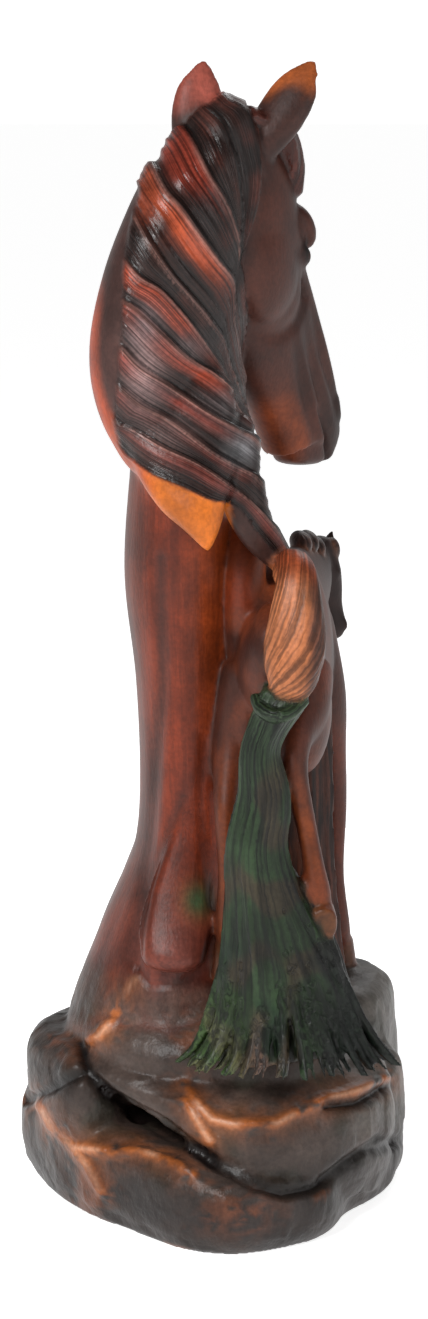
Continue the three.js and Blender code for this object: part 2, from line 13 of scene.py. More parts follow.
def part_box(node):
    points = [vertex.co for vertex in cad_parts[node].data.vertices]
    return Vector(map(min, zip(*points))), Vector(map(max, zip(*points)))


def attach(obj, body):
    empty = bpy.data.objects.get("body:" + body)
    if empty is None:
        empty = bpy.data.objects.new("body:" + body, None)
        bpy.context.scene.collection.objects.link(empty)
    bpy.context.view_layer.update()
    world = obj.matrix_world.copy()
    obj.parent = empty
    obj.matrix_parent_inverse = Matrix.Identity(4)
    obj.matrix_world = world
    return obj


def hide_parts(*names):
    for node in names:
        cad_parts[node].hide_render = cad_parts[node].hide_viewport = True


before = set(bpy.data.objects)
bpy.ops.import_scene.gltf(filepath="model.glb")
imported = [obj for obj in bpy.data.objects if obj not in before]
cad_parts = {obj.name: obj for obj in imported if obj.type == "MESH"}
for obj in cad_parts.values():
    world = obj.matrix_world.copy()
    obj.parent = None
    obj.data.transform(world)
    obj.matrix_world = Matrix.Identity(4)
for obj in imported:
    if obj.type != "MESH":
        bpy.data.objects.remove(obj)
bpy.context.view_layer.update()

NODE = "mare_and_foal_casting"
MM = 0.001
low_corner, high_corner = (np.array(corner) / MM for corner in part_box(NODE))

# Driving sizes, from model.glb and as in the solid
rock_width, rock_length = (high_corner - low_corner)[:2]
figure_height = 300.0
rock_height = 50.0
mare_head_length = 101.0
foal_height = 122.0
foal_head_length = 26.0
mare_ear_width = 13.6
foal_ear_length = 9.0
figure = (figure_height - rock_height) / 250
skin_detail = 0.62
photo_width, photo_height = 428, 1319
camera_distance, camera_height = 800, 290
camera_pitch = 10.311
focal_pixels = 3068.69
pixels_per_mm = 3.9
most_triangles = 190000


# Numbers

def lerp(a, b, t):
    return a + (b - a) * t


def smooth(x):
    x = np.clip(x, 0, 1)
    return x * x * (3 - 2 * x)


def rise(value, start, span):
    """From 0 at the start to 1 a span further on; with a span below 0 it falls."""
    return smooth((value - start) / span)


def bell(x, reach):
    return np.exp(-(x / reach) ** 2)


def radians(degrees):
    return np.asarray(degrees) * math.pi / 180


def unit(v):
    return v / np.maximum(np.linalg.norm(v, axis=-1, keepdims=True), 1e-9)


def turned(v, axis, degrees):
    """A vector turned about an axis."""
    a = radians(degrees)
    return v * np.cos(a) + np.cross(axis, v) * np.sin(a) + axis * np.dot(axis, v) * (1 - np.cos(a))


def smooth_line(points, t, closed=False):
    """Places on the smooth line through the points, at shares t of the way along it."""
    p = np.asarray(points, float)
    if closed:
        p = np.vstack([p[-1], p, p[0], p[1]])
    else:
        p = np.vstack([2 * p[0] - p[1], p, 2 * p[-1] - p[-2]])
    spans = len(p) - 3
    x = np.clip(np.asarray(t, float), 0, 1) * spans
    i = np.minimum(x.astype(int), spans - 1)
    f = (x - i)[:, None]
    a, b, c, d = p[i], p[i + 1], p[i + 2], p[i + 3]
    return 0.5 * (2 * b + (c - a) * f + (2 * a - 5 * b + 4 * c - d) * f ** 2
                  + (3 * b - a - 3 * c + d) * f ** 3)


def seen(p):
    """Column and row of the photo where points of the figure are seen."""
    a = radians(camera_pitch)
    away = np.asarray(p) - (0, -camera_distance, camera_height)
    ahead = away @ (0, np.cos(a), -np.sin(a))
    return (photo_width / 2 + focal_pixels * away[:, 0] / ahead,
            photo_height / 2 - focal_pixels * (away @ (0, np.sin(a), np.cos(a))) / ahead)


def facing_camera(p, n):
    """1 on the side of the figure that the photo shows, 0 on the far side."""
    return rise(-n[:, 1], -0.2, 0.4) * (p[:, 1] < 10)


def line_distance(column, row, line):
    """How far points of the photo are from a line drawn on it, in its pixels."""
    best = np.full(len(column), 1e9)
    for (a, b), (c, d) in zip(line, line[1:]):
        t = np.clip(((column - a) * (c - a) + (row - b) * (d - b)) / ((c - a) ** 2 + (d - b) ** 2), 0, 1)
        best = np.minimum(best, np.hypot(column - a - t * (c - a), row - b - t * (d - b)))
    return best


def nearest_line(column, row, lines):
    return np.min([line_distance(column, row, line) for line in lines], axis=0)


def point_tree(points):
    tree = kdtree.KDTree(len(points))
    for i, p in enumerate(points):
        tree.insert(p, i)
    tree.balance()
    return tree


def nearest_in(tree, points):
    """Number of the tree's point that lies nearest to each of the points."""
    return np.array([tree.find(p)[1] for p in points])


class Pose:
    """A place and three directions to model in: right side, forward and up."""

    def __init__(self, origin, yaw=0.0, scale=1.0):
        a = radians(yaw)
        self.origin = np.array(origin, float)
        self.right = np.array([np.cos(a), -np.sin(a), 0])
        self.forward = np.array([np.sin(a), np.cos(a), 0])
        self.up = np.array([0, 0, 1.0])
        self.scale = scale

    def tip(self, degrees):
        """Tips the forward direction down, as a head hangs."""
        self.forward = turned(self.forward, self.right, -degrees)
        self.up = turned(self.up, self.right, -degrees)
        return self

    def point(self, x, y, z):
        return (self.origin + self.scale * (np.multiply.outer(x, self.right)
                + np.multiply.outer(y, self.forward) + np.multiply.outer(z, self.up)))

    def local(self, p):
        away = (p - self.origin) / self.scale
        return away @ self.right, away @ self.forward, away @ self.up


world = Pose([0, 0, rock_height - 50 * figure], 0, figure)
plain = Pose([0, 0, 0])


# Meshes and objects

def new_mesh(name, bm):
    mesh = bpy.data.meshes.new(name)
    bm.to_mesh(mesh)
    bm.free()
    return mesh


def set_down(name, data):
    """A new object of the mesh, lamp or camera, in the scene."""
    thing = bpy.data.objects.new(name, data)
    bpy.context.scene.collection.objects.link(thing)
    return thing


def coordinates(mesh):
    co = np.empty(3 * len(mesh.vertices))
    mesh.vertices.foreach_get("co", co)
    return co.reshape(-1, 3)


def move_to(mesh, co):
    mesh.vertices.foreach_set("co", co.ravel())
    mesh.update()


# Forms
# Each form starts as a ball from an operator, whose rings are then laid along a line or round a
# middle. It keeps for each vertex its paint region and where it is along and across the hair.

REGIONS = ("column", "neck", "head", "ear", "mane", "foal", "tail", "grass", "rock", "hoof")
forms = []


def ball(around, rings):
    """A unit ball: its mesh, and each vertex's turn round it and share of the way down it."""
    bm = bmesh.new()
    bmesh.ops.create_uvsphere(bm, u_segments=around, v_segments=rings, radius=1)
    mesh = new_mesh("form", bm)
    co = coordinates(mesh)
    return mesh, np.arctan2(co[:, 1], co[:, 0]), np.arccos(np.clip(co[:, 2], -1, 1)) / math.pi, co


def keep(mesh, co, region, turn, along, hair):
    """Adds the form to the casting, turned outside out."""
    mesh.vertices.foreach_set("co", co.ravel())
    bm = bmesh.new()
    bm.from_mesh(mesh)
    bmesh.ops.recalc_face_normals(bm, faces=bm.faces)
    bm.to_mesh(mesh)
    bm.free()
    radius = hair / (2 * math.pi)
    strand = np.stack(np.broadcast_arrays(radius * np.cos(turn), radius * np.sin(turn), along), 1)
    forms.append({"mesh": mesh, "co": co, "region": REGIONS.index(region), "strand": strand})
    return forms[-1]


def limb(pose, stations, region, around=24, rings=40, roundness=2.0, ripple=None, side=None,
         caps=(0.7, 0.7), cap_share=0.12, hair=8.0, twist=0.0):
    """A closed limb of oval sections along a smooth line, with rounded ends.
    Each station is x, y, z, half width, half depth over and half depth under."""
    table = np.array([(list(s) + [s[-1]] * 6)[:6] for s in stations], float)
    mesh, turn, share, _ = ball(around, rings)
    t = np.clip((share - cap_share) / (1 - 2 * cap_share), 0, 1)
    near, far = share < cap_share, share > 1 - cap_share
    lean = np.where(near, -(1 - share / cap_share), np.where(far, 1 - (1 - share) / cap_share, 0))
    lean = lean * math.pi / 2
    centre_points = pose.point(table[:, 0], table[:, 1], table[:, 2])
    centre = smooth_line(centre_points, t)
    size = np.maximum(smooth_line(table[:, 3:], t), 0.02) * pose.scale
    tangent = unit(smooth_line(centre_points, np.minimum(t + 1e-3, 1))
                   - smooth_line(centre_points, np.maximum(t - 1e-3, 0)))
    across = pose.right if side is None else np.asarray(side, float)
    across = unit(across - (tangent @ across)[:, None] * tangent)
    over = np.cross(across, tangent)
    reach = np.where(near, caps[0], caps[1]) * size.min(axis=1)
    centre = centre + tangent * (np.sin(lean) * reach)[:, None]
    c, s = np.cos(turn), np.sin(turn)
    x = size[:, 0] * np.sign(c) * np.abs(c) ** (2 / roundness)
    y = np.where(s > 0, size[:, 1], size[:, 2]) * np.sign(s) * np.abs(s) ** (2 / roundness)
    swell = (1.0 if ripple is None else ripple(turn, t)) * np.cos(lean)
    co = centre + across * (x * swell)[:, None] + over * (y * swell)[:, None]
    length = np.linalg.norm(np.diff(centre_points, axis=0), axis=1).sum()
    return keep(mesh, co, region, turn + twist * t * t, t * length / 10, hair)


def lump(pose, at, half, region, turn=(0, 0, 0), roundness=2.0, around=24, rings=16):
    """A rounded lump: a ball squared off by its roundness, stretched, turned and set in place."""
    mesh, angle, share, co = ball(around, rings)
    reach = (np.abs(co) ** roundness).sum(axis=1) ** (-1 / roundness)
    co = co * reach[:, None] * np.array(half)
    for axis, degrees in zip(np.eye(3)[::-1], turn[::-1]):
        a = radians(degrees)
        co = co * np.cos(a) + np.cross(axis, co) * np.sin(a) + np.outer(co @ axis, axis) * (1 - np.cos(a))
    co = co + np.array(at)
    return keep(mesh, pose.point(co[:, 0], co[:, 1], co[:, 2]), region, angle, share, 8)


def both_sides(build):
    for s in (-1, 1):
        build(s)


# The rock

boulders = {
    "base slab": dict(
        outline=[(8, -61), (29, -49), (38, -30), (49, -12), (54, 14), (50, 39), (34, 57), (4, 61),
                 (-27, 57), (-46, 42), (-54, 18), (-51, -3), (-39, -27), (-25, -42), (-9, -57)],
        levels=[(0, 0.94), (5, 1), (14, 1.01), (20, 0.96), (23, 0.84)], slope=(-0.12, 0)),
    "front slab": dict(
        outline=[(-34, -28), (-16, -44), (4, -52), (18, -52), (33, -43), (45, -28), (50, -6), (40, 20),
                 (-10, 35), (-38, 8)],
        levels=[(24, 0.93), (30, 1), (38, 1), (44, 0.93), (48, 0.72)],
        foot=(-0.42, 0.05), slope=(-0.06, 0.17)),
    "left boulder": dict(
        outline=[(-14, -10), (-18, 30), (-38, 40), (-50, 24), (-53, 2), (-47, -18), (-34, -34)],
        levels=[(21, 0.9), (28, 1), (35, 1), (42, 0.9), (46, 0.66)], slope=(0.06, -0.04)),
    "rear right boulder": dict(
        outline=[(36, 6), (47, 12), (53, 30), (50, 46), (36, 56), (18, 52), (14, 28)],
        levels=[(14, 0.9), (24, 1.02), (38, 1), (48, 0.9), (52, 0.66)], slope=(-0.03, 0)),
    "rear left boulder": dict(
        outline=[(20, 40), (8, 57), (-12, 59), (-30, 51), (-38, 30), (-10, 20)],
        levels=[(18, 0.95), (30, 1.02), (42, 0.97), (50, 0.84), (54, 0.55)], slope=(0, -0.05)),
    "right lump": dict(
        outline=[(38, -14), (50, -5), (54, 10), (50, 22), (38, 24), (34, 6)],
        levels=[(4, 0.8), (10, 1), (22, 1.02), (31, 0.9), (35, 0.6)]),
    "mound": dict(
        outline=[(-20, -36), (2, -41), (22, -38), (33, -24), (34, 14), (22, 38), (-10, 42), (-36, 28),
                 (-41, 2), (-34, -22)],
        levels=[(32, 1), (46, 1), (54, 0.84), (60, 0.66), (64, 0.4)], slope=(-0.1, 0)),
}
boulder_span = ((-54.5, 54.5), (-61.6, 61.5))


def boulder(outline, levels, foot=(0, 0), slope=(0, 0)):
    """An outline of its own, swept up through levels that swell and close over."""
    mesh, turn, share, _ = ball(96, 40)
    rim = smooth_line([(x, y, 0) for x, y in outline], (turn / (2 * math.pi)) % 1, closed=True)
    middle = np.mean([(x, y, 0) for x, y in outline], axis=0)
    lid = 0.22
    up = np.clip((share - lid) / (1 - 2 * lid), 0, 1)
    heights = smooth_line([(z, s, 0) for z, s in levels], up)
    shrink = heights[:, 1] * np.clip(np.minimum(share, 1 - share) / lid, 0, 1)
    x = lerp(middle[0], rim[:, 0], shrink)
    y = lerp(middle[1], rim[:, 1], shrink)
    span_share = (heights[:, 0] - levels[0][0]) / (levels[-1][0] - levels[0][0])
    z = heights[:, 0] + lerp(foot[0], slope[0], span_share) * x + lerp(foot[1], slope[1], span_share) * y
    z = np.maximum(z, 0)
    (x0, x1), (y0, y1) = boulder_span
    co = np.stack([(x - (x0 + x1) / 2) * rock_width / (x1 - x0),
                   (y - (y0 + y1) / 2) * rock_length / (y1 - y0), z * rock_height / 50], axis=1)
    keep(mesh, co, "rock", turn, share, 8)


for shape in boulders.values():
    boulder(**shape)


# The mare's neck

def column_creases(angle, t):
    lines = np.maximum(0, np.cos(7 * angle - 1.9 - 0.6 * t)) ** 3
    fine = np.maximum(0, np.cos(17 * angle + 2.4 * np.sin(3 * t))) ** 2
    return 1 - 0.045 * lines * (0.5 + 0.5 * np.cos(2 * angle + 1)) - 0.008 * fine


limb(world, [
    (-9.5, -13, 222, 11, 20, 19),
    (-8, -9.5, 200, 13.6, 24, 21.5),
    (-8, -6, 170, 15.6, 26.5, 24),
    (-7, -4, 142, 13.8, 26, 24),
    (-6, -3, 116, 13.8, 25, 25),
    (-6, -2, 97, 15, 26, 27),
    (-7.2, 0, 82, 18.6, 28, 29),
    (-9, 2, 67, 23.2, 32, 32),
    (-9.2, 3, 54, 29, 36, 35),
    (-8.5, 3, 44, 31, 38, 36),
], "column", around=120, rings=140, ripple=column_creases, hair=44)

# The drape of the column's foot, like a tongue
limb(world, [
    (-3, -24, 120, 2, 2),
    (-5.5, -25.2, 108, 4.4, 2.6),
    (-8, -27.6, 93, 7.6, 3.4),
    (-10, -31, 80, 9.8, 4.2),
    (-10.5, -35, 72, 8.8, 4.4),
], "column", around=40, rings=50, caps=(1, 0.8), hair=16)

neck_side = Pose([0, 0, 0], 30).right
neck_stations = [
    (3, -4, 286, 7, 7, 8),
    (1, -6, 279, 10.4, 12, 12),
    (-2, -9, 269, 12, 18, 17.6),
    (-6, -13, 257, 14, 22, 22.4),
    (-10.2, -15, 241, 15.6, 25, 25.5),
    (-12.4, -15.5, 225, 16.2, 26, 26),
    (-8.8, -15, 212, 14.6, 24, 25.5),
    (-4.4, -15, 204, 12, 20, 23),
    (-5, -17, 193, 12.6, 20, 24),
]
neck_table = np.array(neck_stations, float)


def neck_middle(share):
    """Middle of the neck at a share down it, its directions across and over, and its sizes."""
    line = world.point(*neck_table[:, :3].T)
    tangent = unit(smooth_line(line, np.minimum(share + 1e-3, 1))
                   - smooth_line(line, np.maximum(share - 1e-3, 0)))
    across = unit(neck_side - (tangent @ neck_side)[:, None] * tangent)
    size = smooth_line(neck_table[:, 3:], share) * figure
    return smooth_line(line, share), across, np.cross(across, tangent), size


def neck_place(p):
    """Share down the neck from the poll, and angle in degrees from the crest round to her right side."""
    steps = 400
    shares = np.linspace(0, 1, steps + 1)
    middle = neck_middle(shares)[0]
    near = nearest_in(point_tree(middle), p)
    step = (near[:, None] + np.array([-1, 0, 1])).clip(0, steps)
    d = ((p[:, None] - middle[step]) ** 2).sum(axis=2)
    bend = d[:, 0] - 2 * d[:, 1] + d[:, 2]
    between = np.where(bend > 1e-6, 0.5 * (d[:, 0] - d[:, 2]) / np.maximum(bend, 1e-6), 0)
    share = ((near + between) / steps).clip(0, 1)
    centre, across, over, size = neck_middle(share)
    a = ((p - centre) * across).sum(axis=1) / size[:, 0]
    o = -((p - centre) * over).sum(axis=1)
    return share, np.degrees(np.arctan2(a, o / np.where(o > 0, size[:, 2], size[:, 1])))


limb(world, neck_stations[:-1], "neck", around=120, rings=120, side=neck_side)

# Its lower end is a pointed flap that lies over the front of the column
limb(world, [
    (-10, -22, 224, 11, 8, 8),
    (-8.4, -30, 210, 14, 8.4, 8.4),
    (-7, -34.5, 201, 12.8, 7, 7),
    (-5.4, -38, 194, 10, 5, 6),
    (-3, -41, 187, 5.8, 3.4, 5),
    (-1.4, -43, 180, 1.2, 1.2, 2.2),
], "neck", around=64, rings=60, roundness=2.8)

# Locks of the mane leave the crest in turn and sweep down and round to her right side. These are
# their upper edges as the photo shows them, from the poll down; the last is the mane's hem
mane_lines = [
    [(232, 98), (250, 110), (262, 150), (268, 180), (264, 224), (250, 262)],
    [(205, 108), (222, 125), (234, 160), (240, 200), (243, 250), (246, 300)],
    [(176, 118), (192, 140), (208, 172), (226, 201), (237, 230), (243, 262), (245, 315)],
    [(150, 160), (165, 190), (181, 208), (203, 239), (220, 262), (235, 282), (245, 320)],
    [(134, 215), (150, 245), (170, 275), (190, 298), (208, 319), (224, 340), (246, 372)],
    [(126, 262), (140, 278), (162, 291), (185, 316), (201, 337), (224, 369), (247, 392)],
    [(122, 300), (140, 312), (162, 333), (189, 358), (220, 377), (251, 408)],
    [(118, 345), (140, 368), (168, 385), (205, 410), (232, 425), (254, 436)],
    [(116, 385), (140, 405), (168, 420), (193, 438), (220, 458), (256, 476)],
    [(118, 425), (133, 430), (162, 447), (195, 462), (220, 478), (245, 497), (262, 512)],
    [(126, 455), (152, 474), (185, 488), (210, 500), (235, 506), (255, 530)],
]
# The crest, where the mane leaves the bare left side: photo rows, and the column at each
crest_rows = (60, 187, 224, 245, 272, 330, 377, 420, 460, 480)
crest_columns = (0, 141, 132, 127, 124, 122, 118, 114, 122, 140)
lock_fall = 50


def mane_place(p, share, angle):
    """Number of the lock that each point lies on, the lock's width, how far along it, and whether
    the mane covers the point. Round the neck's right edge the locks run on as they came."""
    column, row = seen(p)
    width = neck_middle(share)[3][:, 0]
    past = np.maximum(radians(angle - 90), 0)
    column = column + pixels_per_mm * width * (past + 1 - np.cos(past)) * (angle < 178)
    a = radians(lock_fall)

    def flow(c, r):
        return c * np.cos(a) + r * np.sin(a), r * np.cos(a) - c * np.sin(a)

    along, down = flow(column, row)
    edges = []
    for line in mane_lines:
        drawn = smooth_line([(c, r, 0) for c, r in line], np.linspace(0, 1, 40))
        edges.append(np.interp(along, *flow(drawn[:, 0], drawn[:, 1])))
    edges = np.array(edges)
    lock = np.clip((down > edges).sum(axis=0) - 1, 0, len(mane_lines) - 2)
    at = np.arange(len(p))
    upper, lower = edges[lock, at], edges[lock + 1, at]
    number = lock + (down - upper) / np.maximum(lower - upper, 6)
    covers = (smooth((column - np.interp(row, crest_rows, crest_columns)) / 7 + 0.5)
              * smooth((len(mane_lines) - 1 - number) / 0.16 + 0.5) * smooth(number / 0.12 + 0.5))
    return number, np.maximum(lower - upper, 6) / pixels_per_mm, along / (10 * pixels_per_mm), covers


def on_neck_mane(angle, covers):
    return covers * smooth((angle + 78) / 20) * smooth((140 - angle) / 14)


def on_head_mane(p, n, covers):
    """The mane runs on over the poll and behind the right ear."""
    x, y, z = mare_head.local(p)
    row = seen(p)[1]
    return covers * smooth((0.45 - n[:, 1]) / 0.4) * smooth((34 - y) / 10) * smooth((266 - row) / 12)


def lay_mane(p, n, inside):
    """Lock number, lock width, place along it and angle round the neck, and the mane's cover."""
    share, angle = neck_place(p)
    number, width, along, covers = mane_place(p, share, angle)
    cover = np.where(inside["neck"], on_neck_mane(angle, covers),
                     np.where(inside["head"], on_head_mane(p, n, covers), 0))
    return number, width, along, angle, cover


def lock_relief(number, width):
    """Height of the mane: from its upper edge each lock sinks slowly to the next one."""
    phase = number % 1
    body = np.where(phase < 0.9, 1 - (phase / 0.9) ** 1.7, (phase - 0.9) / 0.1)
    part = (3 * number + 0.35 * np.sin(5 * number)) % 1
    fine = np.where(part < 0.8, 1 - part / 0.8, (part - 0.8) / 0.2)
    size = np.clip(width * 0.17, 0.3, 1.7)
    hair = 0.5 + 0.5 * np.cos(2 * math.pi * (8 * number + 0.6 * np.sin(3 * number)))
    return size * (body - 0.35) + 0.36 * size * (fine - 0.5) + 0.10 * size * hair


def lock_strands(count, depth, twist):
    def ripple(angle, t):
        fade = np.sin(math.pi * np.clip(t, 0.04, 0.96)) ** 0.3
        return 1 + depth * np.cos(count * angle + twist * t) * fade
    return ripple


# The last locks gather beside the flap and run down on to the foal's croup
mane_gather = (8, -33, 196)
for dx, dz in ((0, 0), (-4, -1)):
    x, y, z = mane_gather
    limb(world, [
        (x - 2 + dx, y + 7, z + 13 + dz, 4, 4.6),
        (x - 1 + dx, y + 2, z + 4 + dz, 4.2, 4.8),
        (x + 1.4 + 0.8 * dx, y, z - 6 + dz, 3.8, 4.6),
        (x + 4.4 + 0.6 * dx, y + 2, z - 13 + dz, 3.6, 4.4),
        (x + 9 + 0.4 * dx, y + 6, z - 20 + dz, 2.6, 3),
    ], "neck", around=60, rings=60)


# The mare's head

mare_head = Pose(world.point(3, -6, 281.5), 30, mare_head_length / 102 * figure).tip(60.5)

limb(mare_head, [
    (0, -4, -3, 8, 9, 9),
    (0, 8, -2, 10.5, 14, 17),
    (0, 20, -2, 12.5, 16, 22),
    (0, 31, -3, 12.6, 15.2, 23),
    (0, 44, -3, 11.4, 14.4, 22),
    (0, 57, -1, 10.4, 12.8, 22),
    (0, 70, 0.5, 9.8, 11.2, 21),
    (0, 83, 0.5, 9.6, 10, 19.4),
    (0, 92, 0.2, 9.2, 7.4, 18.4),
    (0, 98, -3, 7.4, 4, 13.5),
], "head", around=64, rings=90, roundness=2.3)
both_sides(lambda s: lump(mare_head, (6 * s, 33, -10), (7.6, 16, 14), "head", roundness=2.2,
                          around=40, rings=28))
both_sides(lambda s: lump(mare_head, (9 * s, 32.4, 8.8), (4, 7, 4), "head", turn=(0, -25 * s, -8 * s)))
both_sides(lambda s: lump(mare_head, (9.8 * s, 38, 4.2), (2.6, 4, 3), "head"))
both_sides(lambda s: lump(mare_head, (6.8 * s, 86, 3.4), (3.4, 6, 4.2), "head", turn=(0, 0, -14 * s)))


def ear(root, tip, opening, width, region):
    """A leaf from root to tip, pressed hollow on the side that it opens to."""
    root, tip = np.array(root, float), np.array(tip, float)
    along = unit(tip - root)
    opening = unit(np.array(opening, float) - np.dot(opening, along) * along)
    side = np.cross(along, opening)
    sizes = [(0, 0.32, 0.3), (0.2, 0.42, 0.33), (0.42, 0.48, 0.3), (0.68, 0.44, 0.24), (0.88, 0.27, 0.13),
             (1, 0.08, 0.04)]
    form = limb(plain, [(*lerp(root, tip, s), a * width, b * width) for s, a, b in sizes], region,
                around=40, rings=40, side=side, cap_share=0.05)
    rel = form["co"] - root
    height = rel @ along / np.linalg.norm(tip - root)
    front = rel @ opening
    wide = np.abs(rel @ side) / width
    scoop = smooth((height - 0.1) / 0.16) * smooth((1 - height) / 0.25) * smooth((0.4 - wide) / 0.16)
    form["co"] -= np.outer(np.where(front > 0, scoop * (front + 0.08 * width), 0), opening)
    form["mesh"].vertices.foreach_set("co", form["co"].ravel())


ear(world.point(-6, -8, 277), world.point(-2.6, -7, 300), (-0.3, 0.95, 0.1), mare_ear_width, "ear")
ear(world.point(11, -5, 277), world.point(25.6, -1, 300), (0.35, 0.9, -0.2), mare_ear_width, "ear")

for x in (0, 4, 8.6):
    limb(mare_head, [
        (0.6 * x, -3, 4, 4, 3),
        (0.85 * x + 1, 6, 11.6, 4.2, 3.4),
        (x + 0.4, 15, 12, 3.8, 3.4),
        (x + 0.4, 22, 9.6, 3, 3),
    ], "mane", around=40, rings=44, ripple=lock_strands(5, 0.1, 5), hair=9, twist=2)


# The foal

foal = Pose(world.point(19.5, 0, 57), 8, foal_height / 122 * figure)

limb(foal, [
    (0, -37, 104, 4, 7, 8),
    (0, -34, 99, 7.4, 18, 14),
    (-0.6, -25, 91, 10.2, 31, 16),
    (-0.6, -8, 87, 11.2, 30, 17),
    (-0.6, 8, 85, 11.8, 31.5, 17),
    (-0.6, 20, 88, 10.8, 30, 19),
    (0, 29, 93, 8.6, 20, 17),
    (0, 34, 95, 4, 9, 9),
], "foal", around=64, rings=80)
both_sides(lambda s: lump(foal, (6.6 * s, -22.4, 78.6), (7.5, 13, 17), "foal", around=32, rings=24))

# The croup leans on the mare's neck, and a clump of tall grass stands under the belly
limb(foal, [
    (-8.2, -17, 124, 5, 7),
    (-8.8, -20.4, 112, 5.4, 9),
    (-8.6, -18, 96, 5.6, 10),
    (-8, -14, 78, 4.6, 8),
], "foal", around=40, rings=40)
limb(foal, [
    (3.4, -8, 78, 8, 5),
    (4.4, -9, 60, 8, 4),
    (4.8, -10, 40, 8, 4),
    (5.4, -11, 20, 9, 5),
    (6, -12, -4, 11, 8),
], "grass", around=80, rings=60, hair=16,
    ripple=lambda angle, t: 1 + 0.1 * np.cos(5 * angle) + 0.06 * np.cos(17 * angle))

foal_poll = (3, 45, 111)
limb(foal, [
    (0, 14, 98, 8, 18, 16),
    (0.5, 26, 101, 7.6, 14, 13),
    (2, 36, 104, 6, 9, 9.5),
    (foal_poll[0] - 1, foal_poll[1] - 2, foal_poll[2] - 3, 4.8, 6, 6.4),
], "foal", around=40, rings=40)
for i in range(3):
    lump(foal, (0.8 + 1.1 * i, 23 + 7 * i, 115.5 - 0.8 * i * i), (3, 4.8, 3), "tail", turn=(20, 0, 24))

foal_head = Pose(foal.point(*foal_poll), 62, foal_head_length / 31 * figure).tip(76)
limb(foal_head, [
    (0, -1, 0, 4.4, 4.8, 5),
    (0, 7, 0, 5.6, 6.2, 8.4),
    (0, 14, 0, 5, 5.6, 7.4),
    (0, 21, 0, 3.8, 4.2, 4.6),
    (0, 27, 0, 4, 4, 4.6),
    (0, 30, -0.4, 3, 3, 3.4),
], "foal", around=40, rings=40, roundness=2.2)
both_sides(lambda s: lump(foal_head, (4.6 * s, 9, 2.6), (1.5, 2, 1.7), "foal", around=16, rings=12))
both_sides(lambda s: lump(foal_head, (2.7 * s, 27.5, 2), (1.7, 2.2, 1.7), "foal", around=16, rings=12))
lump(foal_head, (0, 2, 5.6), (2.6, 4, 2.4), "tail")

for out, lean, opening in (((3, 0, -2), (0.9, -2.6, -2.2), (0.6, -0.5, 0.4)),
                           ((-2.6, 6.5, 4.4), (-0.6, -2.2, 1.2), (-0.4, -0.2, 0.9))):
    root = foal_head.point(*out)
    direction = unit(foal_head.point(*lean) - foal_head.origin)
    ear(root, root + direction * foal_ear_length * figure, foal_head.point(*opening) - foal_head.origin,
        0.6 * foal_ear_length * figure, "foal")


def leg(stations, hoof):
    """A leg runs from the hip or shoulder down to the coronet, with a hoof under it."""
    limb(foal, stations, "foal", around=32, rings=60, cap_share=0.04)
    limb(foal, hoof, "hoof", around=32, rings=24, caps=(0.3, 0.1), roundness=2.2)


leg([
    (-8, -22, 88, 6.5, 11, 11),
    (-10.5, -26, 71, 5.6, 8.5, 8.5),
    (-11.4, -32, 60, 4, 5, 5.5),
    (-11.4, -35.5, 53, 3.2, 3.8, 4.4),
    (-11.4, -34.5, 38, 2.5, 2.8, 3),
    (-11.6, -33.5, 24, 3, 3.2, 3.7),
    (-11.8, -32, 18, 2.7, 3, 3),
], [(-11.8, -32, 19, 3.1, 3.6, 3.2), (-12, -31, 8, 4, 4.8, 4.2)])
leg([
    (8, -22, 88, 6.5, 11, 11),
    (8, -28, 80, 6, 9, 9),
    (6.4, -36, 74, 4.4, 5.4, 5.4),
    (6.6, -40, 66, 3.4, 3.8, 4.2),
    (9.4, -40.5, 53, 2.7, 2.9, 3.1),
    (11.6, -41, 42, 2.8, 3, 3.2),
    (12.6, -41, 35, 3.5, 3.6, 3.8),
    (13.6, -40, 30, 2.8, 3, 3),
], [(13.8, -38.5, 29.5, 3, 3.8, 3.8), (15, -45, 27.5, 3.4, 4.8, 4.8)])
leg([
    (4.6, 21, 94, 5.4, 9, 9),
    (8.4, 22, 75, 5, 7, 7),
    (9.4, 26, 58, 3.9, 4.6, 4.6),
    (9.4, 31, 41, 3.7, 3.9, 3.8),
    (9.8, 32, 22, 2.6, 2.9, 2.9),
    (10.8, 33, 7, 3.2, 3.5, 3.6),
    (11.4, 35, 1, 2.9, 3, 3),
], [(11.4, 35.4, 2, 3.3, 3.6, 3.4), (12, 37, -11, 4.3, 5.2, 4.6)])
leg([
    (-7, 21, 92, 6, 9, 9),
    (-9, 23, 76, 5, 7.4, 7.4),
    (-11, 30, 63, 4.1, 4.8, 4.8),
    (-12, 37, 50, 3.8, 4, 3.8),
    (-13, 35, 33, 2.7, 2.9, 2.9),
    (-13, 34, 19, 3.2, 3.5, 3.6),
    (-13, 36, 12, 2.9, 3, 3),
], [(-13, 36.4, 13, 3.3, 3.6, 3.4), (-13, 38, 0, 4.3, 5.2, 4.6)])

# The tail hangs as three thick locks that twist round each other
tail_tip = (4.2, -50, 85)


def tail_relief(angle, t):
    turned_angle = angle + 3.2 * t * t
    thick = np.abs(np.cos(1.5 * turned_angle + 0.4 * np.sin(6 * t)))
    locks = np.abs(np.cos(5.5 * turned_angle + 0.9 * np.sin(8 * t)))
    strands = np.cos(23 * turned_angle + 1.2 * np.sin(11 * t))
    return 0.9 + 0.10 * thick + 0.06 * locks + 0.02 * strands


